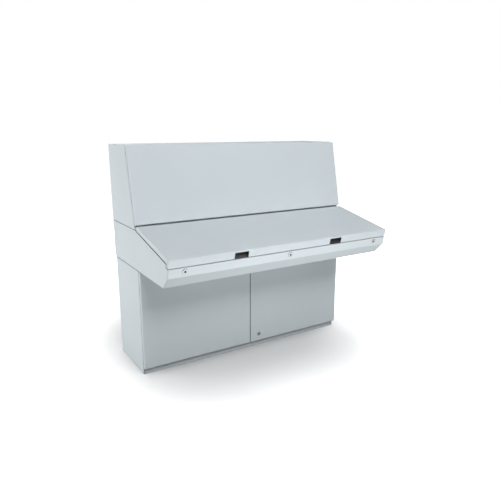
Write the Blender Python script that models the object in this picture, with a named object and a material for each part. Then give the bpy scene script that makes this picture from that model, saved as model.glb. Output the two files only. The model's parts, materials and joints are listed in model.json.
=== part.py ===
"""Three-section sheet-steel control console: base cabinet, desk with a lifting lid, upper panel.

The console faces -Y and stands on Z = 0, centred on X = 0, with +Z up. All sizes are metres.
Each closure (door, lid, upper panel) is drawn in a front frame: x runs to the right, z up the
face and -y out of it, with y = 0 on the body's own front face.
"""
import math

import bmesh
import bpy
from mathutils import Matrix, Vector

# Overall sizes
WIDTH = 1.600
OVERALL_DEPTH = 0.950
BASE_HEIGHT = 0.700
DESK_HEIGHT = 0.250
UPPER_HEIGHT = 0.500
BODY_DEPTH = 0.445
TILT = math.radians(12.0)
BASE_INSET = 0.006

# Sheet metal
BODY_SHEET = 0.0020
DOOR_SHEET = 0.0020
FOLD_RADIUS = 0.0035
SEAT = 0.0003

# Doors and upper panel
CLOSURE_GAP = 0.005
CLOSURE_RETURN = 0.021
DOOR_BOTTOM = 0.044
DOOR_TOP_GAP = 0.008
DOOR_MEETING_GAP = 0.004
PANEL_BOTTOM = 0.028
PANEL_TOP_GAP = 0.008

# Rims that the seals close on, measured from the edge of the body to the opening
RIM_SIDE = 0.055
RIM_TOP = 0.035
RIM_BOTTOM = 0.075
RIM_UPSTAND = 0.012
POST_WIDTH = 0.060
SEAL_WIDTH = 0.012
UPPER_RIM = 0.045

# Desk lid, its rim and the fascia below it
LID_REAR = 0.0225
LID_TOP = 0.0315
LID_RETURN = 0.025
LID_LIP = 0.048
LID_CORNER = 0.022
LID_LIP_GAP = 0.006
DESK_RIM_DROP = 0.002
DESK_RIM_SIDE = 0.030
DESK_RIM_REAR = 0.055
DESK_RIM_FRONT = 0.014
DESK_UPSTAND = 0.018
FASCIA_BOTTOM = 0.076
FASCIA_RETURN = 0.034
BEVEL_ANGLE = math.radians(45.0)

# Finger grips in the lid's lip
GRIP_WIDTH = 0.093
GRIP_HEIGHT = 0.038
GRIP_DEPTH = 0.026
GRIP_SILL = 0.005
GRIP_WALL = 0.002

# Concealed hinges: the pin's place inside the fold, and the hinge's own sizes
HINGE_INSET = 0.009
HINGE_DEPTH = 0.010
HINGE_PIN_R = 0.0025
HINGE_RUN = 0.0003
HINGE_EYE_R = 0.004
HINGE_LEAF_INNER = 0.0032
HINGE_KNUCKLE = 0.024
HINGE_EAR = 0.004
HINGE_ARM_LOW = 0.003
HINGE_NECK = 0.015
HINGE_NECK_WIDTH = 0.008
HINGE_FOOT = 0.038
HINGE_FOOT_THICK = 0.0025
HINGE_LEAF = 0.030
HINGE_FROM_END = 0.090
LID_HINGE_FROM_END = 0.240

# Quarter-turn locks
LOCK_FLANGE_R = 0.0140
LOCK_FLANGE = 0.0045
LOCK_BARREL_R = 0.0100
LOCK_BARREL = 0.024
LOCK_CORE_R = 0.0062
LOCK_RUN = 0.0004
LOCK_KEY_R = 0.0044
LOCK_KEY_PIN_R = 0.0016
LOCK_KEY_DEPTH = 0.006
LOCK_KEY_FACE = 0.0027
CAM_WIDTH = 0.010
CAM_HUB_R = 0.0072
CAM_HUB_FLANK = math.radians(120.0)
CAM_THICK = 0.003
CAM_LENGTH = 0.055
CAM_GAP = 0.0035
FASCIA_LOCK_FROM_END = 0.100
FASCIA_LOCK_BELOW = 0.0225
DOOR_LOCK_X = 0.073
DOOR_LOCK_FROM_END = 0.052

# Keepers that hang from the lid and hook under the fascia lock cams
KEEPER_GAP = 0.006
KEEPER_CAM_GAP = 0.0012
KEEPER_LEG = 0.016
KEEPER_LEDGE = 0.008
KEEPER_TOE = 0.022
KEEPER_THICK = 0.004
KEEPER_BEHIND_RIM = 0.010

# Slide bolts that hold the left door
BOLT_X = 0.062
BOLT_WIDTH = 0.014
BOLT_THICK = 0.004
BOLT_LENGTH = 0.085
BOLT_RIM_GAP = 0.006
BOLT_KNOB_R = 0.005
BOLT_KNOB = 0.014
GUIDE_LENGTH = 0.036
GUIDE_WALL = 0.002
GUIDE_FOOT = 0.012

# Gas springs between the desk sides and the lid
STRUT_INSET = 0.050
STRUT_ANCHOR_R = 0.075
STRUT_ANCHOR_ANGLE = math.radians(-65.0)
STRUT_REACH = 0.300
STRUT_DROP = 0.027
STRUT_TUBE_R = 0.009
STRUT_ROD_R = 0.004
STRUT_TUBE = 0.185
STRUT_BORE = 0.100
STRUT_EYE_R = 0.010
STRUT_EYE = 0.010
STRUT_PIN_R = 0.004
STRUT_TIP_R = 0.008
STUD_FOOT_R = 0.014
STUD_FOOT = 0.003
STAY_PLATE = 0.003
STAY_PLATE_WIDTH = 0.036
STAY_PLATE_BELOW = 0.012
STAY_FOOT = 0.018

# Rear skins, floor, mounting plate and cable ways
REAR_FLANGE = 0.040
REAR_CORNER_R = 0.006
REAR_EDGE = 0.003
FLOOR_FLANGE = 0.030
FLOOR_MARGIN_X = 0.090
FLOOR_MARGIN_Y = 0.060
GLAND_LAP = 0.015
PLATE_STANDOFF = 0.022
PLATE_SIDE = 0.020
PLATE_BOTTOM = 0.070
PLATE_TOP = 0.060
PLATE_SHEET = 0.0025
CABLE_WAY_FROM_MIDDLE = 0.060
CABLE_WAY_FROM_END = 0.120
CABLE_WAY_DEPTH = (0.090, 0.370)
DECK_LIP = 0.018
TOP_FLANGE = 0.020
PANEL_STUD_R = 0.003
PANEL_STUD = 0.010
PANEL_STUD_FROM_END = 0.025
PANEL_STUD_INSET = 0.022
PANEL_STUD_RUN = 0.0005

# Facets
ROUND = 20
FOLD_STEPS = 2
WELD = 1e-6
SMOOTH_ANGLE = math.radians(35.0)

# Worked out from the values above
HALF = WIDTH / 2.0
BASE_HALF = HALF - BASE_INSET
LID_HINGE_X = HALF - LID_HINGE_FROM_END
FASCIA_LOCK_X = HALF - FASCIA_LOCK_FROM_END
GRIP_X = FASCIA_LOCK_X / 2.0
CABLE_WAY_X = (CABLE_WAY_FROM_MIDDLE, HALF - CABLE_WAY_FROM_END)
REAR_Y = OVERALL_DEPTH / 2.0
SEAM_DESK = BASE_HEIGHT
SEAM_UPPER = BASE_HEIGHT + DESK_HEIGHT
TOP_Z = SEAM_UPPER + UPPER_HEIGHT
REAR_SKIN = BODY_SHEET + SEAT
SLOPE_LENGTH = UPPER_HEIGHT / math.cos(TILT)
CLOSURE_FACE = CLOSURE_GAP + CLOSURE_RETURN
CLOSURE_BACK = CLOSURE_FACE - DOOR_SHEET
DOOR_TOP = BASE_HEIGHT - DOOR_TOP_GAP
PANEL_TOP = SLOPE_LENGTH - PANEL_TOP_GAP
LID_BACK = LID_TOP - DOOR_SHEET
LID_FRONT = (OVERALL_DEPTH - BODY_DEPTH - LID_TOP * math.sin(TILT)) / math.cos(TILT)
LIP_END = LID_TOP - LID_LIP
FASCIA_TOP = LIP_END - LID_LIP_GAP
FASCIA_WALL = LID_FRONT - FASCIA_RETURN
RIM_OPEN_FRONT = FASCIA_WALL - DESK_RIM_FRONT
RIM_OPEN_REAR = LID_REAR + DESK_RIM_REAR
RIM_OPEN_X = HALF - DESK_RIM_SIDE
HINGE_V = LID_REAR + HINGE_INSET
HINGE_M = LID_TOP - HINGE_DEPTH
LOCK_M = FASCIA_TOP - FASCIA_LOCK_BELOW
KEEPER_V = RIM_OPEN_FRONT - KEEPER_BEHIND_RIM


def front_frame(depth, height, lean):
    """Frame of a face that leans back by an angle, at a depth from the rear and a height."""
    return Matrix.Translation((0.0, REAR_Y - depth, height)) @ Matrix.Rotation(-lean, 4, "X")


WORLD = Matrix.Identity(4)
BASE_FRONT = front_frame(BODY_DEPTH, 0.0, 0.0)
UPPER_FRONT = front_frame(BODY_DEPTH, SEAM_UPPER, TILT)
LID_FRAME = front_frame(BODY_DEPTH, SEAM_UPPER, math.pi / 2.0 - TILT)
FASCIA_FRAME = front_frame(BODY_DEPTH, SEAM_UPPER, -TILT)


def lid_point(along, above):
    """World (y, z) of a point along the lid's slope from the seam and above the slope line."""
    point = FASCIA_FRAME @ Vector((0.0, -along, above))
    return Vector((point.y, point.z))


def bevel():
    """World (y, z) of the fascia's lower fold, and of the bevel's foot at the desk's floor."""
    fold = lid_point(LID_FRONT, -FASCIA_BOTTOM)
    foot = fold.x + (fold.y - SEAM_DESK) / math.tan(BEVEL_ANGLE)
    return fold, Vector((foot, SEAM_DESK))


def material(name, colour, roughness, metallic):
    """A Principled material with one colour."""
    made = bpy.data.materials.new(name)
    made.use_nodes = True
    shader = made.node_tree.nodes["Principled BSDF"]
    shader.inputs["Base Color"].default_value = (*colour, 1.0)
    shader.inputs["Roughness"].default_value = roughness
    shader.inputs["Metallic"].default_value = metallic
    made.diffuse_color = (*colour, 1.0)
    return made


def finish(name, mesh_data, finish_material, frame=WORLD, pivot=(0.0, 0.0, 0.0)):
    """Turn a bmesh drawn in a frame into a named object whose origin is the pivot."""
    bmesh.ops.translate(mesh_data, verts=mesh_data.verts, vec=-Vector(pivot))
    mesh = bpy.data.meshes.new(name)
    mesh_data.to_mesh(mesh)
    mesh_data.free()
    mesh.materials.append(finish_material)
    made = bpy.data.objects.new(name, mesh)
    bpy.context.collection.objects.link(made)
    made.matrix_world = frame @ Matrix.Translation(pivot)
    return made


def bake(target):
    """Replace an object's mesh by the result of its modifiers."""
    bpy.context.view_layer.update()
    graph = bpy.context.evaluated_depsgraph_get()
    mesh = bpy.data.meshes.new_from_object(target.evaluated_get(graph))
    target.modifiers.clear()
    target.data = mesh


def combine(target, tool_mesh, operation, frame):
    """Cut, or join, a bmesh drawn in a frame from, or to, an object."""
    tool = finish("tool", tool_mesh, target.data.materials[0], frame)
    tool.hide_render = True
    tool.display_type = "WIRE"
    step = target.modifiers.new("step", "BOOLEAN")
    step.object = tool
    step.operation = operation
    step.solver = "EXACT"
    bake(target)
    bpy.data.objects.remove(tool)


def prism(outline, axis, low, high, mesh_data=None):
    """Extrude a flat outline along X, Y or Z, into a new bmesh or an existing one."""
    mesh_data = mesh_data or bmesh.new()
    place = {
        "X": lambda a, b: (low, a, b),
        "Y": lambda a, b: (a, low, b),
        "Z": lambda a, b: (a, b, low),
    }[axis]
    corners = [mesh_data.verts.new(place(a, b)) for a, b in outline]
    face = mesh_data.faces.new(corners)
    grown = bmesh.ops.extrude_face_region(mesh_data, geom=[face])["geom"]
    shift = {"X": Vector((1, 0, 0)), "Y": Vector((0, 1, 0)), "Z": Vector((0, 0, 1))}[axis]
    moved = [item for item in grown if isinstance(item, bmesh.types.BMVert)]
    bmesh.ops.translate(mesh_data, verts=moved, vec=shift * (high - low))
    bmesh.ops.recalc_face_normals(mesh_data, faces=mesh_data.faces)
    return mesh_data


def block(low, high, mesh_data=None):
    """A box between two corners."""
    outline = [(low[0], low[1]), (high[0], low[1]), (high[0], high[1]), (low[0], high[1])]
    return prism(outline, "Z", low[2], high[2], mesh_data)


def turned(profile, to_axis=WORLD):
    """Turn a (radius, height) profile that starts and ends on the axis, or closes on itself."""
    mesh_data = bmesh.new()
    points = [mesh_data.verts.new((radius, 0.0, height)) for radius, height in profile]
    edges = [mesh_data.edges.new(pair) for pair in zip(points, points[1:])]
    if profile[0][0] > 0.0:
        edges.append(mesh_data.edges.new((points[-1], points[0])))
    bmesh.ops.spin(
        mesh_data, geom=points + edges, cent=(0, 0, 0), axis=(0, 0, 1), angle=math.tau, steps=ROUND
    )
    bmesh.ops.remove_doubles(mesh_data, verts=mesh_data.verts, dist=WELD)
    bmesh.ops.recalc_face_normals(mesh_data, faces=mesh_data.faces)
    mesh_data.transform(to_axis)
    return mesh_data


def rod(radius, low, high, to_axis=WORLD):
    """A plain round bar between two heights."""
    return turned([(0.0, low), (radius, low), (radius, high), (0.0, high)], to_axis)


def arc(centre, radius, start, end):
    """Points on an arc, angles in radians."""
    steps = max(1, round(ROUND * abs(end - start) / math.tau))
    angles = [start + (end - start) * step / steps for step in range(steps + 1)]
    return [(centre[0] + radius * math.cos(a), centre[1] + radius * math.sin(a)) for a in angles]


def folded_outline(path, sheet):
    """Outline of a sheet folded along a path, its thickness on the path's left."""
    path = [Vector(point) for point in path]
    runs = [(b - a).normalized() for a, b in zip(path, path[1:])]
    lefts = [Vector((-run.y, run.x)) for run in runs]
    near = [path[0]]
    far = [path[0] + lefts[0] * sheet]
    for corner, run, left, following in zip(path[1:-1], runs, lefts, runs[1:]):
        turn = run.angle_signed(following) * -1.0
        side = math.copysign(1.0, turn)
        radius = FOLD_RADIUS if side > 0.0 else FOLD_RADIUS - sheet
        start = corner - run * radius * math.tan(abs(turn) / 2.0)
        centre = start + left * side * radius
        for step in range(FOLD_STEPS + 1):
            spoke = Matrix.Rotation(turn * step / FOLD_STEPS, 2) @ (-left * side)
            near.append(centre + spoke * radius)
            far.append(centre + spoke * (radius - side * sheet))
    near.append(path[-1])
    far.append(path[-1] + lefts[-1] * sheet)
    return [tuple(point) for point in near + far[::-1]]


def thicken(target, sheet):
    """Give an open surface its sheet thickness, behind its faces."""
    solid = target.modifiers.new("sheet", "SOLIDIFY")
    solid.thickness = sheet
    solid.offset = -1.0
    solid.use_even_offset = True
    solid.use_rim = True
    bake(target)


def pan(name, low, high, face, depth, sheet, finish_material, frame, pivot=(0.0, 0.0, 0.0)):
    """A flat face with folded returns: x and z corners, the face's y and the returns' depth."""
    mesh_data = bmesh.new()
    corners = [(low[0], low[1]), (high[0], low[1]), (high[0], high[1]), (low[0], high[1])]
    front = [mesh_data.verts.new((x, face, z)) for x, z in corners]
    back = [mesh_data.verts.new((x, face + depth, z)) for x, z in corners]
    mesh_data.faces.new(front)
    for here, there in ((0, 1), (1, 2), (2, 3), (3, 0)):
        mesh_data.faces.new((front[here], back[here], back[there], front[there]))
    folds = [edge for edge in mesh_data.edges if not edge.is_boundary]
    bmesh.ops.bevel(
        mesh_data, geom=folds, offset=FOLD_RADIUS, segments=FOLD_STEPS, profile=0.5, affect="EDGES"
    )
    made = finish(name, mesh_data, finish_material, frame, pivot)
    thicken(made, sheet)
    return made


def ring(name, columns, rows, openings, upstand, sheet, finish_material, frame, face=0.0):
    """A flat frame on a grid, open in some cells, with each opening's edge turned up.

    The turned-up wall stands just inside its opening, and a frame without one is left flat.
    """
    spans = [(columns[i], columns[i + 1], rows[j], rows[j + 1]) for i, j in openings]
    wall = sheet if upstand > 0.0 else 0.0
    xs = sorted({*columns, *(x for span in spans for x in (span[0] + wall, span[1] - wall))})
    zs = sorted({*rows, *(z for span in spans for z in (span[2] + wall, span[3] - wall))})

    def front_of(i, j):
        if not (0 <= i < len(xs) - 1 and 0 <= j < len(zs) - 1):
            return None
        x, z = (xs[i] + xs[i + 1]) / 2.0, (zs[j] + zs[j + 1]) / 2.0
        for left, right, low, high in spans:
            if left < x < right and low < z < high:
                edge = min(x - left, right - x, z - low, high - z)
                return face - upstand if edge < wall else None
        return face

    mesh_data = bmesh.new()
    corners = {}

    def corner(i, j, y):
        key = (i, j, y)
        if key not in corners:
            corners[key] = mesh_data.verts.new((xs[i], y, zs[j]))
        return corners[key]

    back = face + sheet
    sides = ((-1, 0, (0, 0), (0, 1)), (1, 0, (1, 1), (1, 0)),
             (0, -1, (1, 0), (0, 0)), (0, 1, (0, 1), (1, 1)))
    for i in range(len(xs) - 1):
        for j in range(len(zs) - 1):
            y = front_of(i, j)
            if y is None:
                continue
            loop = ((i, j), (i + 1, j), (i + 1, j + 1), (i, j + 1))
            mesh_data.faces.new([corner(a, b, y) for a, b in loop])
            mesh_data.faces.new([corner(a, b, back) for a, b in loop[::-1]])
            for step_i, step_j, first, second in sides:
                beside = front_of(i + step_i, j + step_j)
                low_y = back if beside is None else beside
                if low_y > y:
                    a = (i + first[0], j + first[1])
                    b = (i + second[0], j + second[1])
                    mesh_data.faces.new((corner(*a, y), corner(*b, y), corner(*b, low_y),
                                         corner(*a, low_y)))
    bmesh.ops.recalc_face_normals(mesh_data, faces=mesh_data.faces)
    return finish(name, mesh_data, finish_material, frame)


def seal(name, low, high, front, back, frame):
    """A foam strip round an opening, centred on the opening's edge."""
    half = SEAL_WIDTH / 2.0
    columns = (low[0] - half, low[0] + half, high[0] - half, high[0] + half)
    rows = (low[1] - half, low[1] + half, high[1] - half, high[1] + half)
    return ring(name, columns, rows, {(1, 1)}, 0.0, back - front, FOAM, frame, front)


def hinge(name, frame, face_gap, side=1.0):
    """A concealed hinge about the frame's z: a goosenecked bracket with its pin, and a leaf.

    x points from the pin to the free edge of the closure and -y out of its face. The bracket
    stands on the body, face_gap behind the pin.
    """
    foot = face_gap - SEAT
    neck_end = HINGE_NECK + HINGE_NECK_WIDTH
    outline = arc((0.0, 0.0), HINGE_EYE_R, -math.pi / 2.0, -math.pi * 1.5)
    outline[-1] = (0.0, HINGE_ARM_LOW)
    outline += [(HINGE_NECK, HINGE_ARM_LOW), (HINGE_NECK, foot), (neck_end, foot)]
    outline += [(neck_end, 0.0), (neck_end - HINGE_EYE_R, -HINGE_EYE_R)]
    outline = [(x * side, y) for x, y in outline]
    ear_low = HINGE_KNUCKLE / 2.0 + HINGE_RUN
    ear_high = ear_low + HINGE_EAR
    bracket = finish(f"{name}_bracket", prism(outline, "Z", ear_low, ear_high), ZINC, frame)
    combine(bracket, prism(outline, "Z", -ear_high, -ear_low), "UNION", frame)
    combine(bracket, rod(HINGE_PIN_R, -ear_high, ear_high), "UNION", frame)
    corners = sorted((HINGE_NECK * side, HINGE_FOOT * side))
    foot_plate = block((corners[0], foot - HINGE_FOOT_THICK, -ear_high),
                       (corners[1], foot, ear_high))
    combine(bracket, foot_plate, "UNION", frame)

    leaf_face = HINGE_DEPTH - DOOR_SHEET - SEAT
    half = HINGE_KNUCKLE / 2.0
    bore = HINGE_PIN_R + HINGE_RUN
    knuckle = turned([(bore, -half), (HINGE_EYE_R, -half), (HINGE_EYE_R, half), (bore, half)])
    leaf = finish(f"{name}_leaf", knuckle, ZINC, frame)
    corners = sorted((-HINGE_EYE_R * side, HINGE_LEAF * side))
    plate = block((corners[0], -leaf_face, -half), (corners[1], -HINGE_LEAF_INNER, half))
    combine(leaf, plate, "UNION", frame)


def key_core(length, cam_direction):
    """A lock's core, from its keyway at y = 0 to the cam at its inner end."""
    out = Matrix.Rotation(math.pi / 2.0, 4, "X")
    profile = [(0.0, -length), (LOCK_CORE_R, -length), (LOCK_CORE_R, 0.0), (LOCK_KEY_R, 0.0),
               (LOCK_KEY_R, -LOCK_KEY_DEPTH), (LOCK_KEY_PIN_R, -LOCK_KEY_DEPTH),
               (LOCK_KEY_PIN_R, 0.0), (0.0, 0.0)]
    core = turned(profile, out)
    half = CAM_WIDTH / 2.0
    tail = arc((0.0, 0.0), CAM_HUB_R, CAM_HUB_FLANK, math.tau - CAM_HUB_FLANK)
    nose = arc((CAM_LENGTH - half, 0.0), half, -math.pi / 2.0, math.pi / 2.0)
    turn = math.atan2(cam_direction[1], cam_direction[0])
    cosine, sine = math.cos(turn), math.sin(turn)
    outline = [(x * cosine - z * sine, x * sine + z * cosine) for x, z in tail + nose]
    cam = prism(outline, "Y", length - CAM_THICK, length)
    return core, cam


def lock(name, frame, centre, face, cam_depth, cam_direction):
    """A quarter-turn lock in a face: the housing, and the core that turns with its cam.

    The cam's front lies cam_depth behind the face.
    """
    out = Matrix.Rotation(math.pi / 2.0, 4, "X")
    at = frame @ Matrix.Translation((centre[0], face, centre[1]))
    bore = LOCK_CORE_R + LOCK_RUN
    rim = LOCK_FLANGE_R - LOCK_FLANGE / 2.0
    profile = [(bore, -LOCK_BARREL), (LOCK_BARREL_R, -LOCK_BARREL), (LOCK_BARREL_R, SEAT),
               (LOCK_FLANGE_R, SEAT), (LOCK_FLANGE_R, LOCK_FLANGE / 2.0), (rim, LOCK_FLANGE),
               (bore, LOCK_FLANGE)]
    finish(f"{name}_housing", turned(profile, out), CHROME, at)
    core_mesh, cam = key_core(cam_depth + CAM_THICK + LOCK_KEY_FACE, cam_direction)
    turn = at @ Matrix.Translation((0.0, -LOCK_KEY_FACE, 0.0))
    core = finish(f"{name}_core", core_mesh, ZINC, turn)
    combine(core, cam, "UNION", turn)


def lock_hole(target, frame, centre, face):
    """The clearance hole for a lock's barrel."""
    out = Matrix.Rotation(math.pi / 2.0, 4, "X")
    at = frame @ Matrix.Translation((centre[0], face, centre[1]))
    reach = LOCK_BARREL_R
    combine(target, rod(LOCK_BARREL_R + LOCK_RUN, -reach, reach, out), "DIFFERENCE", at)


def rear_skin(name, half_width, low, high):
    """A flat removable rear panel, screwed over the rear flanges."""
    radius = REAR_CORNER_R
    left, right = -half_width + REAR_EDGE, half_width - REAR_EDGE
    bottom, top = low + REAR_EDGE, high - REAR_EDGE
    centres = ((left + radius, bottom + radius, 2), (right - radius, bottom + radius, 3),
               (right - radius, top - radius, 0), (left + radius, top - radius, 1))
    outline = []
    for x, z, quarter in centres:
        start = quarter * math.pi / 2.0
        outline += arc((x, z), radius, start, start + math.pi / 2.0)
    finish(name, prism(outline, "Y", REAR_Y - BODY_SHEET, REAR_Y), PAINT)


def side_wall(name, side, half_width, low, high):
    """A side sheet with its rear edge folded inward for the rear panel."""
    front = REAR_Y - BODY_DEPTH
    rear = REAR_Y - REAR_SKIN
    path = [(half_width, front), (half_width, rear), (half_width - REAR_FLANGE, rear)]
    outline = [(x * side, y) for x, y in folded_outline(path, BODY_SHEET)]
    return finish(name, prism(outline, "Z", low, high), PAINT)


def base_cabinet():
    """The base's walls, door frame, floor, gland plate, mounting plate and rear panel."""
    side_wall("base_left_side", -1.0, BASE_HALF, 0.0, BASE_HEIGHT - SEAT)
    side_wall("base_right_side", 1.0, BASE_HALF, 0.0, BASE_HEIGHT - SEAT)
    inner = BASE_HALF - BODY_SHEET - SEAT
    post = POST_WIDTH / 2.0
    columns = (-inner, RIM_SIDE - BASE_HALF, -post, post, BASE_HALF - RIM_SIDE, inner)
    rows = (0.0, RIM_BOTTOM, BASE_HEIGHT - RIM_TOP, BASE_HEIGHT - SEAT)
    ring("base_door_frame", columns, rows, {(1, 1), (3, 1)}, RIM_UPSTAND, BODY_SHEET, PAINT,
         BASE_FRONT)

    front = REAR_Y - BODY_DEPTH + BODY_SHEET + SEAT
    rear = REAR_Y - REAR_SKIN - BODY_SHEET - SEAT
    path = [(front, FLOOR_FLANGE), (front, 0.0), (rear, 0.0), (rear, FLOOR_FLANGE)]
    floor_x = inner - (FOLD_RADIUS - BODY_SHEET)
    floor = prism(folded_outline(path, BODY_SHEET), "X", -floor_x, floor_x)
    floor = finish("base_floor", floor, PAINT)
    way_x = inner - FLOOR_MARGIN_X
    way_front, way_rear = front + FLOOR_MARGIN_Y, rear - FLOOR_MARGIN_Y
    way = block((-way_x, way_front, -BODY_SHEET), (way_x, way_rear, BODY_SHEET * 2.0))
    combine(floor, way, "DIFFERENCE", WORLD)
    gland_low = BODY_SHEET + SEAT
    gland = block((-way_x - GLAND_LAP, way_front - GLAND_LAP, gland_low),
                  (way_x + GLAND_LAP, way_rear + GLAND_LAP, gland_low + BODY_SHEET))
    finish("base_gland_plate", gland, ZINC)

    seat = REAR_SKIN + BODY_SHEET + SEAT
    plate_frame = front_frame(seat + PLATE_STANDOFF, 0.0, 0.0)
    plate_x = inner - PLATE_SIDE
    pan("base_mounting_plate", (-plate_x, PLATE_BOTTOM), (plate_x, BASE_HEIGHT - PLATE_TOP), 0.0,
        PLATE_STANDOFF, PLATE_SHEET, ZINC, plate_frame)
    rear_skin("base_rear_panel", BASE_HALF, 0.0, BASE_HEIGHT)


def bolt_guide(door, centre_z):
    """Join a hat-shaped slide bolt guide to the inside of the left door."""
    slot = BOLT_WIDTH / 2.0 + SEAT
    leg = slot + GUIDE_WALL
    root = -CLOSURE_BACK - DOOR_SHEET / 4.0
    crown = BODY_SHEET + CAM_GAP + BOLT_THICK + SEAT
    foot = -CLOSURE_BACK + GUIDE_WALL
    half_hat = [(leg + GUIDE_FOOT, root), (leg + GUIDE_FOOT, foot), (leg, foot),
                (leg, crown + GUIDE_WALL)]
    inside = [(slot, crown), (slot, root)]
    outline = [(x - BOLT_X, y) for x, y in half_hat]
    outline += [(-x - BOLT_X, y) for x, y in half_hat[::-1]]
    outline += [(-x - BOLT_X, y) for x, y in inside[::-1]]
    outline += [(x - BOLT_X, y) for x, y in inside]
    half = GUIDE_LENGTH / 2.0
    combine(door, prism(outline, "Z", centre_z - half, centre_z + half), "UNION", BASE_FRONT)


def slide_bolt(name, tip_z, upward):
    """A flat bolt that slides behind the door frame's edge, with a knob at its inner end."""
    front = BODY_SHEET + CAM_GAP
    ends = sorted((tip_z, tip_z - upward * BOLT_LENGTH))
    half = BOLT_WIDTH / 2.0
    bar = block((-BOLT_X - half, front, ends[0]), (-BOLT_X + half, front + BOLT_THICK, ends[1]))
    made = finish(name, bar, ZINC, BASE_FRONT)
    knob_z = tip_z - upward * (BOLT_LENGTH - 2.0 * BOLT_KNOB_R)
    inward = Matrix.Translation((-BOLT_X, front + BOLT_THICK, knob_z))
    inward = inward @ Matrix.Rotation(-math.pi / 2.0, 4, "X")
    combine(made, rod(BOLT_KNOB_R, -BOLT_THICK / 2.0, BOLT_KNOB, inward), "UNION", BASE_FRONT)


def base_doors():
    """Both doors with seals, hinges, the right door's locks and the left door's bolts."""
    meeting = DOOR_MEETING_GAP / 2.0
    post = POST_WIDTH / 2.0
    rim_low, rim_high = RIM_BOTTOM, BASE_HEIGHT - RIM_TOP
    pin_y = HINGE_DEPTH - CLOSURE_FACE
    pin_x = BASE_HALF - HINGE_INSET
    for word, side in (("left", -1.0), ("right", 1.0)):
        edges = sorted((side * BASE_HALF, side * meeting))
        pivot = (side * pin_x, pin_y, DOOR_BOTTOM)
        door = pan(f"base_{word}_door", (edges[0], DOOR_BOTTOM), (edges[1], DOOR_TOP),
                   -CLOSURE_FACE, CLOSURE_RETURN, DOOR_SHEET, PAINT, BASE_FRONT, pivot)
        opening = sorted((side * (BASE_HALF - RIM_SIDE), side * post))
        seal(f"{word}_door_seal", (opening[0], rim_low), (opening[1], rim_high),
             -CLOSURE_BACK + SEAT, -RIM_UPSTAND - SEAT, BASE_FRONT)
        hinge_levels = (("lower", DOOR_BOTTOM + HINGE_FROM_END),
                        ("upper", DOOR_TOP - HINGE_FROM_END))
        for level, z in hinge_levels:
            at = BASE_FRONT @ Matrix.Translation((side * pin_x, pin_y, z))
            hinge(f"{word}_door_{level}_hinge", at, -pin_y, -side)
        levels = (("lower", DOOR_BOTTOM + DOOR_LOCK_FROM_END, rim_low, 1.0),
                  ("upper", DOOR_TOP - DOOR_LOCK_FROM_END, rim_high, -1.0))
        for level, z, rim_edge, inward in levels:
            if word == "right":
                centre = (DOOR_LOCK_X, z)
                lock_hole(door, BASE_FRONT, centre, -CLOSURE_FACE)
                lock(f"door_{level}_lock", BASE_FRONT, centre, -CLOSURE_FACE,
                     CLOSURE_FACE + BODY_SHEET + CAM_GAP, (0.0, inward))
            else:
                tip = rim_edge + inward * BOLT_RIM_GAP
                bolt_guide(door, tip + inward * (BOLT_RIM_GAP + GUIDE_LENGTH / 2.0))
                slide_bolt(f"left_door_{level}_bolt", tip, -inward)


def desk_side(name, side, anchor):
    """A flat desk cheek, cut to the section's profile, with the gas spring's stud on it."""
    rear = REAR_Y - REAR_SKIN
    fold, toe = bevel()
    step = LID_FRONT - LID_CORNER - LID_LIP_GAP
    outline = [(rear, SEAM_DESK), tuple(toe), tuple(fold),
               tuple(lid_point(LID_FRONT, FASCIA_TOP)), tuple(lid_point(step, FASCIA_TOP)),
               tuple(lid_point(step, -DESK_RIM_DROP)), tuple(lid_point(0.0, -DESK_RIM_DROP)),
               (REAR_Y - BODY_DEPTH, SEAM_UPPER - SEAT), (rear, SEAM_UPPER - SEAT)]
    ends = sorted((side * HALF, side * (HALF - BODY_SHEET)))
    cheek = finish(name, prism(outline, "X", ends[0], ends[1]), PAINT)
    across = Matrix.Translation((0.0, anchor.x, anchor.y))
    across = across @ Matrix.Rotation(side * math.pi / 2.0, 4, "Y")
    face = HALF - BODY_SHEET
    tip = HALF - STRUT_INSET - STRUT_EYE / 2.0
    foot = face - STUD_FOOT
    overlap = BODY_SHEET / 2.0
    profile = [(0.0, tip), (STRUT_PIN_R, tip), (STRUT_PIN_R, foot), (STUD_FOOT_R, foot),
               (STUD_FOOT_R, face + overlap), (0.0, face + overlap)]
    combine(cheek, turned(profile, across), "UNION", WORLD)


def cable_ways(target, height):
    """Cut the pair of cable openings through a floor or deck at a height."""
    for side in (-1.0, 1.0):
        ends = sorted((side * CABLE_WAY_X[0], side * CABLE_WAY_X[1]))
        way = block((ends[0], REAR_Y - CABLE_WAY_DEPTH[1], height - FOLD_RADIUS),
                    (ends[1], REAR_Y - CABLE_WAY_DEPTH[0], height + FOLD_RADIUS))
        combine(target, way, "DIFFERENCE", WORLD)


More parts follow.
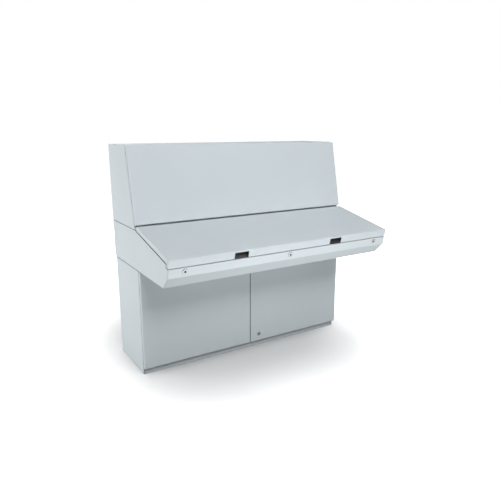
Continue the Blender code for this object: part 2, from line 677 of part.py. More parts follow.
def desk_section(anchor):
    """The desk's cheeks, front trough, rear deck, rim and fascia locks."""
    desk_side("desk_left_side", -1.0, anchor)
    desk_side("desk_right_side", 1.0, anchor)
    inner = HALF - BODY_SHEET - SEAT
    rear = REAR_Y - REAR_SKIN
    fold, toe = bevel()
    wall_top = -DESK_RIM_DROP - BODY_SHEET - SEAT
    path = [lid_point(FASCIA_WALL, wall_top), lid_point(FASCIA_WALL, FASCIA_TOP),
            lid_point(LID_FRONT, FASCIA_TOP), fold, toe, Vector((rear, SEAM_DESK))]
    trough = prism(folded_outline(path, BODY_SHEET), "X", -inner, inner)
    trough = finish("desk_front_and_floor", trough, PAINT)
    cable_ways(trough, SEAM_DESK)

    floor_top = SEAM_DESK + BODY_SHEET + SEAT
    deck_z = SEAM_UPPER - SEAT
    deck_front = REAR_Y - BODY_DEPTH
    path = [(rear, floor_top), (rear, deck_z), (deck_front, deck_z),
            (deck_front, deck_z - DECK_LIP)]
    deck = prism(folded_outline(path, BODY_SHEET), "X", -inner, inner)
    deck = finish("desk_rear_and_deck", deck, PAINT)
    cable_ways(deck, deck_z)

    rim_rear = SEAT / math.cos(TILT) + (DESK_RIM_DROP + BODY_SHEET) * math.tan(TILT)
    columns = (-inner, -RIM_OPEN_X, RIM_OPEN_X, inner)
    rows = (-FASCIA_WALL, -RIM_OPEN_FRONT, -RIM_OPEN_REAR, -rim_rear)
    ring("desk_rim", columns, rows, {(1, 1)}, DESK_UPSTAND, BODY_SHEET, PAINT, LID_FRAME,
         DESK_RIM_DROP)

    cam_depth = LID_FRONT - KEEPER_V - CAM_THICK / 2.0
    for word, x in (("left", -FASCIA_LOCK_X), ("middle", 0.0), ("right", FASCIA_LOCK_X)):
        lock_hole(trough, FASCIA_FRAME, (x, LOCK_M), -LID_FRONT)
        lock(f"lid_{word}_lock", FASCIA_FRAME, (x, LOCK_M), -LID_FRONT, cam_depth, (0.0, 1.0))


def lid_keeper(name, lock_x, side):
    """A hook that hangs from the lid and reaches under the turned cam of a fascia lock."""
    cam_low = LOCK_M - CAM_WIDTH / 2.0
    ledge_top = cam_low - KEEPER_CAM_GAP
    ledge_low = ledge_top - KEEPER_LEDGE
    leg = CAM_LENGTH + KEEPER_GAP
    outline = [(leg, LID_BACK - SEAT), (leg, ledge_top), (KEEPER_TOE, ledge_top),
               (KEEPER_TOE, ledge_low), (leg + KEEPER_LEG, ledge_low),
               (leg + KEEPER_LEG, LID_BACK - SEAT)]
    outline = [(lock_x + side * x, z) for x, z in outline]
    half = KEEPER_THICK / 2.0
    finish(name, prism(outline, "Y", -KEEPER_V - half, -KEEPER_V + half), ZINC, FASCIA_FRAME)


def finger_grip(name, x):
    """A moulded finger pull: deep under the lip's top, with its back sloping out to the sill."""
    top = LIP_END + GRIP_HEIGHT - SEAT
    low = LIP_END
    front = -LID_FRONT
    half = GRIP_WIDTH / 2.0 - SEAT
    outline = [(front, low), (front + GRIP_SILL, low), (front + GRIP_DEPTH, low + GRIP_HEIGHT / 2.0),
               (front + GRIP_DEPTH, top), (front, top)]
    grip = finish(name, prism(outline, "X", x - half, x + half), PLASTIC, FASCIA_FRAME)
    slope = (GRIP_HEIGHT / 2.0) / (GRIP_DEPTH - GRIP_SILL)
    wall = GRIP_WALL
    back = front + GRIP_DEPTH - wall
    sill = low + wall * math.hypot(1.0, slope) - GRIP_SILL * slope
    pocket = [(front - wall, sill - wall * slope), (back, sill + (GRIP_DEPTH - wall) * slope),
              (back, top - wall), (front - wall, top - wall)]
    combine(grip, prism(pocket, "X", x - half + wall, x + half - wall), "DIFFERENCE", FASCIA_FRAME)


def desk_lid():
    """The lid pan with its deeper front lip, seal, hinges, grips and keepers."""
    pivot = (0.0, -HINGE_M, -HINGE_V)
    lid = pan("desk_lid", (-HALF, -LID_FRONT), (HALF, -LID_REAR), -LID_TOP, LID_LIP, DOOR_SHEET,
              PAINT, LID_FRAME, pivot)
    corner = -LID_FRONT + LID_CORNER
    shallow = block((-HALF - BODY_SHEET, -LID_TOP + LID_RETURN, corner),
                    (HALF + BODY_SHEET, LID_LIP, 0.0))
    combine(lid, shallow, "DIFFERENCE", LID_FRAME)
    half = GRIP_WIDTH / 2.0
    for word, x in (("left", -GRIP_X), ("right", GRIP_X)):
        reach = LID_CORNER / 2.0
        notch = block((x - half, -LID_FRONT - reach, LIP_END - LID_LIP_GAP),
                      (x + half, -LID_FRONT + reach, LIP_END + GRIP_HEIGHT))
        combine(lid, notch, "DIFFERENCE", FASCIA_FRAME)
        finger_grip(f"lid_{word}_grip", x)
    seal("lid_seal", (-RIM_OPEN_X, -RIM_OPEN_FRONT), (RIM_OPEN_X, -RIM_OPEN_REAR),
         -LID_BACK + SEAT, DESK_RIM_DROP - DESK_UPSTAND - SEAT, LID_FRAME)
    for word, x in (("left", -LID_HINGE_X), ("right", LID_HINGE_X)):
        at = LID_FRAME @ Matrix.Translation((x, -HINGE_M, -HINGE_V))
        across = Matrix.Rotation(math.pi / 2.0, 4, "Y")
        hinge(f"lid_{word}_hinge", at @ across, HINGE_M + DESK_RIM_DROP)
    for word, x, side in (("left", -FASCIA_LOCK_X, 1.0), ("middle", 0.0, 1.0),
                          ("right", FASCIA_LOCK_X, -1.0)):
        lid_keeper(f"lid_{word}_keeper", x, side)


def gas_spring(word, side, anchor, lid_end):
    """A gas spring: the tube on the cheek's stud, the rod, and the stay plate on the lid."""
    reach = lid_end - anchor
    lean = math.atan2(-reach.x, reach.y)
    x = side * (HALF - STRUT_INSET)
    at = Matrix.Translation((x, anchor.x, anchor.y)) @ Matrix.Rotation(lean, 4, "X")
    across = Matrix.Rotation(math.pi / 2.0, 4, "Y")
    half_eye = STRUT_EYE / 2.0
    neck = STRUT_EYE_R + STRUT_TUBE_R
    bore = STRUT_ROD_R + SEAT
    mouth = STRUT_TUBE - STRUT_BORE
    profile = [(0.0, 0.0), (STRUT_PIN_R, 0.0), (STRUT_PIN_R, neck - STRUT_PIN_R),
               (STRUT_TUBE_R, neck), (STRUT_TUBE_R, STRUT_TUBE), (bore, STRUT_TUBE), (bore, mouth),
               (0.0, mouth)]
    tube = finish(f"{word}_gas_spring_tube", turned(profile), BLACK_METAL, at)
    combine(tube, rod(STRUT_EYE_R, -half_eye, half_eye, across), "UNION", at)
    combine(tube, rod(STRUT_PIN_R + SEAT, -STRUT_EYE, STRUT_EYE, across), "DIFFERENCE", at)
    length = reach.length
    piston = finish(f"{word}_gas_spring_rod", rod(STRUT_ROD_R, mouth + SEAT, length), ZINC, at)
    tip = Matrix.Translation((0.0, 0.0, length)) @ across
    combine(piston, rod(STRUT_TIP_R, -half_eye, half_eye, tip), "UNION", at)

    face = HALF - STRUT_INSET + half_eye + SEAT
    centre = HINGE_V + STRUT_REACH
    half = STAY_PLATE_WIDTH / 2.0
    low = LID_TOP - STRUT_DROP - STAY_PLATE_BELOW
    top = LID_BACK - SEAT
    ends = sorted((side * face, side * (face + STAY_PLATE)))
    stay = block((ends[0], -centre - half, low), (ends[1], -centre + half, top))
    stay = finish(f"{word}_stay_plate", stay, ZINC, FASCIA_FRAME)
    ends = sorted((side * (face + STAY_PLATE), side * (face - STAY_FOOT)))
    foot = block((ends[0], -centre - half, top - STAY_PLATE), (ends[1], -centre + half, top))
    combine(stay, foot, "UNION", FASCIA_FRAME)


def upper_section():
    """The upper cheeks, top, rear panel, front rim, and the fixed instrument panel on its studs."""
    low = SEAM_UPPER + SEAT
    front = REAR_Y - BODY_DEPTH
    top_front = front + UPPER_HEIGHT * math.tan(TILT)
    for word, side in (("left", -1.0), ("right", 1.0)):
        cheek = side_wall(f"upper_{word}_side", side, HALF, low, TOP_Z)
        ends = (side * (HALF - REAR_FLANGE * 2.0), side * (HALF + REAR_FLANGE))
        wedge = [(front, SEAM_UPPER), (top_front, TOP_Z), (top_front, TOP_Z + UPPER_HEIGHT),
                 (front - UPPER_HEIGHT, TOP_Z + UPPER_HEIGHT), (front - UPPER_HEIGHT, SEAM_UPPER)]
        combine(cheek, prism(wedge, "X", min(ends), max(ends)), "DIFFERENCE", WORLD)
    inner = HALF - BODY_SHEET - SEAT
    rear = REAR_Y - REAR_SKIN
    rim_back = (BODY_SHEET + SEAT) / math.cos(TILT)
    fall = TOP_FLANGE * math.tan(TILT)
    path = [(rear, TOP_Z - TOP_FLANGE), (rear, TOP_Z), (top_front + rim_back, TOP_Z),
            (top_front + rim_back - fall, TOP_Z - TOP_FLANGE)]
    top = prism(folded_outline(path, BODY_SHEET), "X", -inner + REAR_FLANGE, inner - REAR_FLANGE)
    top = finish("upper_top", top, PAINT)
    lid_sheet = block((-inner, top_front + rim_back + FOLD_RADIUS, TOP_Z - BODY_SHEET),
                      (inner, rear - FOLD_RADIUS - SEAT, TOP_Z))
    combine(top, lid_sheet, "UNION", WORLD)
    rear_skin("upper_rear_panel", HALF, SEAM_UPPER, TOP_Z)

    columns = (-inner, -HALF + UPPER_RIM, HALF - UPPER_RIM, inner)
    seam = SEAT / math.cos(TILT)
    rows = (seam + BODY_SHEET * math.tan(TILT), PANEL_BOTTOM + UPPER_RIM, SLOPE_LENGTH - UPPER_RIM,
            SLOPE_LENGTH)
    rim = ring("upper_rim", columns, rows, {(1, 1)}, RIM_UPSTAND, BODY_SHEET, PAINT, UPPER_FRONT)
    panel = pan("upper_front_panel", (-HALF, PANEL_BOTTOM), (HALF, PANEL_TOP), -CLOSURE_FACE,
                CLOSURE_RETURN, DOOR_SHEET, PAINT, UPPER_FRONT)
    seal("upper_seal", (-HALF + UPPER_RIM, PANEL_BOTTOM + UPPER_RIM),
         (HALF - UPPER_RIM, SLOPE_LENGTH - UPPER_RIM), -CLOSURE_BACK + SEAT, -RIM_UPSTAND - SEAT,
         UPPER_FRONT)
    inward = Matrix.Rotation(-math.pi / 2.0, 4, "X")
    for x in (-HALF + PANEL_STUD_INSET, HALF - PANEL_STUD_INSET):
        for z in (PANEL_BOTTOM + PANEL_STUD_FROM_END, PANEL_TOP - PANEL_STUD_FROM_END):
            at = Matrix.Translation((x, 0.0, z)) @ inward
            root = -CLOSURE_BACK - DOOR_SHEET / 2.0
            combine(panel, rod(PANEL_STUD_R, root, PANEL_STUD, at), "UNION", UPPER_FRONT)
            hole = rod(PANEL_STUD_R + PANEL_STUD_RUN, -PANEL_STUD, PANEL_STUD, at)
            combine(rim, hole, "DIFFERENCE", UPPER_FRONT)


def shade():
    """Round pieces are shaded smooth and folds keep their edges."""
    for made in bpy.data.objects:
        if made.type == "MESH":
            made.data.shade_smooth()
            made.data.set_sharp_from_angle(angle=SMOOTH_ANGLE)


for stale in list(bpy.data.objects):
    bpy.data.objects.remove(stale)

PAINT = material("light_grey_paint", (0.64, 0.67, 0.68), 0.45, 0.0)
ZINC = material("zinc_plate", (0.62, 0.62, 0.60), 0.35, 1.0)
CHROME = material("chrome", (0.80, 0.80, 0.82), 0.12, 1.0)
PLASTIC = material("black_plastic", (0.02, 0.02, 0.02), 0.55, 0.0)
FOAM = material("black_foam", (0.05, 0.05, 0.05), 0.90, 0.0)
BLACK_METAL = material("black_tube", (0.03, 0.03, 0.03), 0.40, 0.3)

PIVOT = lid_point(HINGE_V, HINGE_M)
ANCHOR_WAY = Vector((-math.cos(STRUT_ANCHOR_ANGLE), math.sin(STRUT_ANCHOR_ANGLE)))
ANCHOR = PIVOT + STRUT_ANCHOR_R * ANCHOR_WAY
LID_END = lid_point(HINGE_V + STRUT_REACH, LID_TOP - STRUT_DROP)

base_cabinet()
base_doors()
desk_section(ANCHOR)
desk_lid()
gas_spring("left", -1.0, ANCHOR, LID_END)
gas_spring("right", 1.0, ANCHOR, LID_END)
upper_section()
shade()
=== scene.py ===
"""Looks of a three-section sheet-steel control console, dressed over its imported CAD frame.

The console faces -Y and stands on Z = 0, centred on X = 0. All sizes are metres. Each piece is
drawn in the datum of the face it belongs to: x runs right, y into the console, z up the face.
"""

from __future__ import annotations

import json
import logging
import math
from dataclasses import dataclass
from enum import Enum
from functools import cached_property
from typing import Sequence

import bmesh
import bpy
from mathutils import Matrix, Vector


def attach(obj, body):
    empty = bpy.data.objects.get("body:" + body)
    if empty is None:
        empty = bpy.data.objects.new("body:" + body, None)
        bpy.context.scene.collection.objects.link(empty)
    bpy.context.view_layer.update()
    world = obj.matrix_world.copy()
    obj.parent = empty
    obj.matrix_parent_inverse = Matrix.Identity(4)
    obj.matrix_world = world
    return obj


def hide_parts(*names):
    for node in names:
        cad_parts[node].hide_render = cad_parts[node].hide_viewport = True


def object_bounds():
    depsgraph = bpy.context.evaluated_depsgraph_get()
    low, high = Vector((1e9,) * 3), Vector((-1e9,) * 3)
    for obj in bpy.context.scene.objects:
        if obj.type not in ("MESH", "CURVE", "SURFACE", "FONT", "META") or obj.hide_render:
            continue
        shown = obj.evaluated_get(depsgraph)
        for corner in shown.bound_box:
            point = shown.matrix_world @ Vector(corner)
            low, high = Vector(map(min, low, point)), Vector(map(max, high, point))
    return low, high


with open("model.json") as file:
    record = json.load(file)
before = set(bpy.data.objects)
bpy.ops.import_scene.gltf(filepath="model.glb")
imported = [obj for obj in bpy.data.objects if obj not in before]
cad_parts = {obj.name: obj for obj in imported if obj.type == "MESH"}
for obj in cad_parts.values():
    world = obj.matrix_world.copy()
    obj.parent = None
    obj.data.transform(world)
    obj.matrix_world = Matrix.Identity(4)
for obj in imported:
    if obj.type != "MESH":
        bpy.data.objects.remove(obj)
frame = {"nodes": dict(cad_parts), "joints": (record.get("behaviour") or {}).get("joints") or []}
CAD_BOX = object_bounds()

LOG = logging.getLogger("console")
Pair = tuple[float, float]
Place = tuple[float, float, float]
Colour = tuple[float, float, float]
Socket = bpy.types.NodeSocket

ROOT = "console_body"
SHADER = "Principled BSDF"
WHITE = (1.0, 1.0, 1.0, 1.0)
SHEET = 0.0020  # thickness of the cabinet's steel
FOLD = 0.0035  # outside radius of a press bend
SEAT = 0.0003  # gap between pieces that sit on one another
EASE = 0.0004  # rounding of a sheared edge
SEAM_EASE = 0.0009  # rounding of a sheared edge along an open joint
EASE_FROM = math.radians(36.0)  # a smaller angle between faces is left as it is
SEAL_WIDTH = 0.012
SEAL_CORNER = SEAL_WIDTH * 1.6
RIM_CORNER = 0.008  # radius of a rim's opening at its corners
PAST = 0.01  # how far a tool runs past what it cuts
FAR = 1.0  # outside the console on any side
ROUND = 48  # facets of a plain turning
BEND_STEPS = 5
FOLD_FROM = math.radians(20.0)  # a smaller angle between faces is no bend
FLAT_WEIGHT = 80  # how strongly large faces set the shading at their edges
WELD = 1e-6  # points nearer than this are one
QUARTER = math.pi / 2.0
OUTWARD = Matrix.Rotation(QUARTER, 4, "X")
INWARD = Matrix.Rotation(-QUARTER, 4, "X")
ACROSS = Matrix.Rotation(QUARTER, 4, "Y")
OVER = Matrix.Rotation(math.pi, 4, "X")


class Slot(Enum):
    """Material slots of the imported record."""

    PAINT = "light_grey_paint"
    ZINC = "zinc_plate"
    CHROME = "chrome"
    PLASTIC = "black_plastic"
    FOAM = "black_foam"
    TUBE = "black_tube"


class Named(Enum):
    """A choice that stands in the names of pieces."""

    @property
    def word(self) -> str:
        """The choice as it stands in a name."""
        return self.name.lower()


class Hand(Named):
    """Left or right as seen from the operator's place, by the sign of x."""

    LEFT = -1.0
    RIGHT = 1.0


class Level(Named):
    """Lower or upper on a door, by the sign of z."""

    LOWER = -1.0
    UPPER = 1.0


class LidLock(Named):
    """The locks along the fascia, by the sign of x."""

    LEFT = -1.0
    MIDDLE = 0.0
    RIGHT = 1.0


class Work(Enum):
    """What a tool does to a shape, by the boolean's own word."""

    CUT = "DIFFERENCE"
    JOIN = "UNION"
    SHARE = "INTERSECT"


class Axis(Enum):
    """A datum axis that an outline is drawn out along."""

    X = 0
    Y = 1
    Z = 2

    def lift(self, point: Pair, along: float) -> Vector:
        """A flat point set at a distance along the axis."""
        values = list(point)
        values.insert(self.value, along)
        return Vector(values)

    def unit(self) -> Vector:
        """The axis as a direction of length one."""
        return self.lift((0.0, 0.0), 1.0)


class Datum(Enum):
    """The faces that pieces are drawn on, by how far each leans back in degrees."""

    UPRIGHT = 0.0
    PANEL = 12.0
    LID = 78.0
    FASCIA = -12.0

    @property
    def matrix(self) -> Matrix:
        """Turns datum axes into the console's own."""
        return Matrix.Rotation(-math.radians(self.value), 4, "X")

    def extent(self, *nodes: str) -> tuple[Vector, Vector]:
        """Measure CAD nodes along the datum's axes.

        Args:
            nodes: names of CAD nodes.

        Returns:
            The lowest and highest corner, in datum axes.
        """
        back = self.matrix.inverted()
        points = [back @ v.co for node in nodes for v in frame["nodes"][node].data.vertices]
        spans = list(zip(*points))
        return Vector([min(span) for span in spans]), Vector([max(span) for span in spans])

    def opening(self, seal: str) -> tuple[Pair, Pair]:
        """The opening that a seal closes.

        Args:
            seal: name of the seal's CAD node.

        Returns:
            The opening's lower left and upper right corner, along the seal's middle.
        """
        low, high = self.extent(seal)
        half = SEAL_WIDTH / 2.0
        return (low.x + half, low.z + half), (high.x - half, high.z - half)


def joint_of(name: str) -> dict:
    """A joint of the frame, by its name."""
    return next(joint for joint in frame["joints"] if joint["name"] == name)


class NodeSheet:
    """Writes the nodes of a material or of the world, with patterns on Object coordinates."""

    def __init__(self, owner: bpy.types.Material | bpy.types.World, shader: str = SHADER) -> None:
        """Start from the owner's shader.

        Args:
            owner: the material or the world.
            shader: name of the shader that it starts with.
        """
        owner.use_nodes = True
        self.tree = owner.node_tree
        self.shader = self.tree.nodes[shader]

    @cached_property
    def where(self) -> Socket:
        """Object coordinates."""
        return self.node("TexCoord").outputs["Object"]

    def feed(self, socket: Socket, value: object) -> None:
        """Link an output to a socket, or set the socket's own value.

        Args:
            socket: the input.
            value: an output, or a plain value.
        """
        if isinstance(value, bpy.types.NodeSocket):
            self.tree.links.new(value, socket)
        else:
            socket.default_value = value

    def node(
        self, kind: str, inputs: dict[str | int, object] | None = None, **settings: object
    ) -> bpy.types.Node:
        """Add a node.

        Args:
            kind: the node's type.
            inputs: outputs or plain values for its inputs, by name or place.
            settings: the node's own settings.

        Returns:
            The node.
        """
        made = self.tree.nodes.new(f"ShaderNode{kind}")
        for name, value in settings.items():
            setattr(made, name, value)
        for key, value in (inputs or {}).items():
            self.feed(made.inputs[key], value)
        return made

    def set(self, **values: object) -> None:
        """Give the shader's inputs their values.

        Args:
            values: by the inputs' names, with underscores for the spaces in them.
        """
        for name, value in values.items():
            self.feed(self.shader.inputs[name.replace("_", " ")], value)

    def stretched(self, *scale: float) -> Socket:
        """Coordinates drawn out by a factor on each axis."""
        return self.node("Mapping", {"Vector": self.where, "Scale": scale}).outputs["Vector"]

    def noise(self, scale: float, detail: float, where: Socket | None = None) -> Socket:
        """A cloudy pattern.

        Args:
            scale: clouds to the metre.
            detail: octaves of finer clouds.
            where: coordinates other than the plain ones.

        Returns:
            The pattern's height, about 0.5.
        """
        inputs = {"Vector": where or self.where, "Scale": scale, "Detail": detail}
        return self.node("TexNoise", inputs).outputs["Fac"]

    def cells(self, scale: float, output: str = "Distance") -> Socket:
        """A cell pattern's distance or colour, so many cells to the metre."""
        return self.node("TexVoronoi", {"Vector": self.where, "Scale": scale}).outputs[output]

    def span(
        self,
        value: Socket,
        low: float,
        high: float,
        source: Pair = (0.3, 0.7),
        curve: str = "LINEAR",
    ) -> Socket:
        """Spread a part of a pattern's range over new limits.

        Args:
            value: the pattern.
            low: what the source's lower end becomes.
            high: what the source's upper end becomes.
            source: the part that is used, by default a cloudy pattern's middle.
            curve: how the steps between are taken.

        Returns:
            The spread pattern.
        """
        limits = {"From Min": source[0], "From Max": source[1], "To Min": low, "To Max": high}
        node = self.node("MapRange", {"Value": value, **limits}, interpolation_type=curve)
        return node.outputs["Result"]

    def drift(self, scale: float, detail: float, limits: Pair = (0.0, 1.0)) -> Socket:
        """A number that drifts between limits in clouds, so many to the metre."""
        return self.span(self.noise(scale, detail), *limits)

    def combine(self, operation: str, first: Socket, second: Socket, clamp: bool = False) -> Socket:
        """Two numbers put through an operation."""
        inputs = {0: first, 1: second}
        return self.node("Math", inputs, operation=operation, use_clamp=clamp).outputs[0]

    def blend(
        self,
        share: Socket | float,
        first: Colour | Socket,
        second: Colour | Socket,
        way: str = "MIX",
    ) -> Socket:
        """A colour between two.

        Args:
            share: how much of the second colour shows.
            first: the colour where the share is none.
            second: the colour where the share is all.
            way: how the second colour meets the first.

        Returns:
            The blended colour.
        """
        ends = [(*end, 1.0) if isinstance(end, tuple) else end for end in (first, second)]
        inputs = {0: share, 6: ends[0], 7: ends[1]}
        return self.node("Mix", inputs, data_type="RGBA", blend_type=way).outputs[2]

    def edges(self, width: float) -> Socket:
        """How much of an outer edge a point lies on, broken up as rubbing leaves it.

        Args:
            width: how far from the edge it starts.

        Returns:
            A share, none on the flat.
        """
        rounded = self.node("Bevel", {"Radius": width}).outputs["Normal"]
        flat = self.node("NewGeometry").outputs["True Normal"]
        turn = self.node("VectorMath", {0: rounded, 1: flat}, operation="DOT_PRODUCT")
        edge = self.span(turn.outputs["Value"], 1.0, 0.0, (0.90, 0.995))
        patches = self.span(self.noise(45.0, 4.0), 0.1, 1.0, (0.4, 0.65))
        return self.combine("MULTIPLY", edge, patches)

    def joints(self, reach: float) -> Socket:
        """How deep in a joint a point lies, by ambient occlusion, for painting shade there.

        Args:
            reach: how near another surface counts.

        Returns:
            A share, none in the open.
        """
        near = self.node("AmbientOcclusion", {"Distance": reach}, samples=8)
        return self.span(near.outputs["AO"], 1.0, 0.0, (0.5, 0.95))

    def relief(
        self, height: Socket, strength: float, depth: float, under: Socket | None = None
    ) -> Socket:
        """A bump from a pattern.

        Args:
            height: the pattern.
            strength: how much of the bump shows.
            depth: the bump's depth.
            under: a coarser bump that this one lies on.

        Returns:
            The bumped normal.
        """
        inputs = {"Strength": strength, "Distance": depth, "Height": height}
        if under is not None:
            inputs["Normal"] = under
        return self.node("Bump", inputs).outputs["Normal"]


@dataclass(frozen=True)
class Finish:
    """A surface finish, made into a material once."""

    name: str
    slot: Slot

    def write(self, sheet: NodeSheet) -> None:
        """Write the finish's nodes on its material's sheet."""
        raise NotImplementedError

    def material(self) -> bpy.types.Material:
        """The finish's material, written on first use.

        Returns:
            The one material of this name.
        """
        made = bpy.data.materials.get(self.name)
        if made is None:
            made = bpy.data.materials.new(self.name)
            self.write(NodeSheet(made))
        return made


@dataclass(frozen=True)
class PowderCoat(Finish):
    """Light grey powder coat: faint clouds, rubbed edges, painted shade darkening the joints, fine
    orange peel.
    """

    shade: Colour = (0.588, 0.650, 0.680)
    tint: Colour = (0.612, 0.672, 0.702)
    rubbed: Colour = (0.655, 0.712, 0.738)
    # near-black colour painted into the joints as shade
    dust: Colour = (0.120, 0.133, 0.140)
    clouds: float = 2.4
    patches: float = 18.0
    peel: float = 330.0
    grain: float = 1500.0
    satin: Pair = (0.54, 0.62)
    gloss: float = 0.32
    worn: float = 0.0016
    # how far from another surface the painted joint shade reaches
    settled: float = 0.006

    def write(self, sheet: NodeSheet) -> None:
        """Write the finish's nodes.

        Args:
            sheet: the material's sheet.
        """
        plain = sheet.blend(sheet.drift(self.clouds, 5.0), self.shade, self.tint)
        rubbed = sheet.blend(sheet.edges(self.worn), plain, self.rubbed)
        peel = sheet.relief(sheet.noise(self.peel, 1.0), strength=0.10, depth=0.0004)
        grain = sheet.noise(self.grain, 1.0)
        sheet.set(
            # painted shade: ambient occlusion darkens the paint's colour in joints and gaps
            Base_Color=sheet.blend(sheet.joints(self.settled), rubbed, self.dust),
            Roughness=sheet.drift(self.patches, 4.0, self.satin),
            Specular_IOR_Level=self.gloss,
            Normal=sheet.relief(grain, strength=0.06, depth=0.0001, under=peel),
        )


@dataclass(frozen=True)
class ZincPlating(Finish):
    """Bright zinc on pressed hardware: drawn lines, a faint passivated tint and dull patches."""

    cool: Colour = (0.56, 0.58, 0.60)
    warm: Colour = (0.66, 0.65, 0.60)
    patches: float = 55.0
    lines: float = 90.0
    drawn: Place = (1.0, 1.0, 14.0)
    dull: Pair = (0.26, 0.44)
    grain: float = 900.0

    def write(self, sheet: NodeSheet) -> None:
        """Write the finish's nodes.

        Args:
            sheet: the material's sheet.
        """
        lines = sheet.noise(self.lines, 3.0, sheet.stretched(*self.drawn))
        sheet.set(
            Base_Color=sheet.blend(sheet.drift(self.patches, 4.0), self.cool, self.warm),
            Metallic=1.0,
            Roughness=sheet.span(lines, *self.dull),
            Normal=sheet.relief(sheet.noise(self.grain, 2.0), strength=0.12, depth=0.0001),
        )


@dataclass(frozen=True)
class GalvanisedSheet(Finish):
    """Hot-dipped plate: crystals of zinc that catch the light one by one."""

    dark: Colour = (0.50, 0.52, 0.54)
    bright: Colour = (0.68, 0.70, 0.71)
    crystals: float = 85.0
    patches: float = 40.0
    dull: Pair = (0.34, 0.55)

    def write(self, sheet: NodeSheet) -> None:
        """Write the finish's nodes.

        Args:
            sheet: the material's sheet.
        """
        crystal = sheet.span(sheet.cells(self.crystals, "Color"), 0.0, 1.0, (0.1, 0.9))
        sheet.set(
            Base_Color=sheet.blend(crystal, self.dark, self.bright),
            Metallic=1.0,
            Roughness=sheet.drift(self.patches, 4.0, self.dull),
            Normal=sheet.relief(sheet.cells(self.crystals), strength=0.05, depth=0.0004),
        )


@dataclass(frozen=True)
class SatinChrome(Finish):
    """Satin chrome on die-cast locks and piston rods, with fine handling scratches."""

    clear: Colour = (0.46, 0.45, 0.443)
    hazed: Colour = (0.40, 0.39, 0.385)
    patches: float = 120.0
    scratches: float = 700.0
    drawn: Place = (1.0, 6.0, 1.0)
    dull: Pair = (0.38, 0.50)

    def write(self, sheet: NodeSheet) -> None:
        """Write the finish's nodes.

        Args:
            sheet: the material's sheet.
        """
        scratch = sheet.noise(self.scratches, 3.0, sheet.stretched(*self.drawn))
        sheet.set(
            Base_Color=sheet.blend(sheet.drift(self.patches, 3.0), self.clear, self.hazed),
            Metallic=1.0,
            Roughness=sheet.span(scratch, *self.dull),
            Normal=sheet.relief(scratch, strength=0.04, depth=0.0001),
        )


@dataclass(frozen=True)
class MouldedPlastic(Finish):
    """Black moulding with a fine eroded grain and slightly polished high spots."""

    dark: Colour = (0.008, 0.008, 0.009)
    light: Colour = (0.015, 0.015, 0.016)
    grain: float = 1300.0
    patches: float = 60.0
    dull: Pair = (0.44, 0.62)

    def write(self, sheet: NodeSheet) -> None:
        """Write the finish's nodes.

        Args:
            sheet: the material's sheet.
        """
        grain = sheet.noise(self.grain, 3.0)
        sheet.set(
            Base_Color=sheet.blend(sheet.span(grain, 0.0, 1.0), self.dark, self.light),
            Roughness=sheet.drift(self.patches, 3.0, self.dull),
            Normal=sheet.relief(grain, strength=0.25, depth=0.0002),
        )


@dataclass(frozen=True)
class SpongeRubber(Finish):
    """Black foamed gasket with a skin of small open cells."""

    pit: Colour = (0.010, 0.010, 0.010)
    skin: Colour = (0.040, 0.040, 0.041)
    pores: float = 900.0
    patches: float = 80.0
    dull: Pair = (0.84, 0.96)

    def write(self, sheet: NodeSheet) -> None:
        """Write the finish's nodes.

        Args:
            sheet: the material's sheet.
        """
        pores = sheet.cells(self.pores)
        sheet.set(
            Base_Color=sheet.blend(sheet.span(pores, 0.0, 1.0, (0.1, 0.6)), self.skin, self.pit),
            Roughness=sheet.drift(self.patches, 3.0, self.dull),
            Normal=sheet.relief(pores, strength=0.5, depth=0.0003),
        )


@dataclass(frozen=True)
class BlackEnamel(Finish):
    """Stoved black on the gas spring's tube, with a soft ripple."""

    deep: Colour = (0.014, 0.014, 0.015)
    grey: Colour = (0.026, 0.026, 0.028)
    clouds: float = 30.0
    patches: float = 50.0
    ripple: float = 260.0
    dull: Pair = (0.26, 0.40)

    def write(self, sheet: NodeSheet) -> None:
        """Write the finish's nodes.

        Args:
            sheet: the material's sheet.
        """
        sheet.set(
            Base_Color=sheet.blend(sheet.drift(self.clouds, 4.0), self.deep, self.grey),
            Roughness=sheet.drift(self.patches, 3.0, self.dull),
            Normal=sheet.relief(sheet.noise(self.ripple, 1.0), strength=0.08, depth=0.0003),
        )


PAINT = PowderCoat("console_powder_coat", Slot.PAINT)
ZINC = ZincPlating("hardware_zinc", Slot.ZINC)
GALVANISED = GalvanisedSheet("galvanised_plate", Slot.ZINC)
CHROME = SatinChrome("lock_chrome", Slot.CHROME)
HARD_CHROME = SatinChrome(
    "piston_rod_chrome", Slot.ZINC, clear=(0.70, 0.71, 0.72), hazed=(0.62, 0.63, 0.65)
)
PLASTIC = MouldedPlastic("grip_moulding", Slot.PLASTIC)
# a near-black finish on the key insert, which makes each lock's centre dark
KEY_BLACK = MouldedPlastic(
    "key_insert_black", Slot.ZINC, dark=(0.016, 0.016, 0.017), light=(0.030, 0.030, 0.031)
)
FOAM = SpongeRubber("gasket_sponge", Slot.FOAM)
ENAMEL = BlackEnamel("spring_tube_enamel", Slot.TUBE)


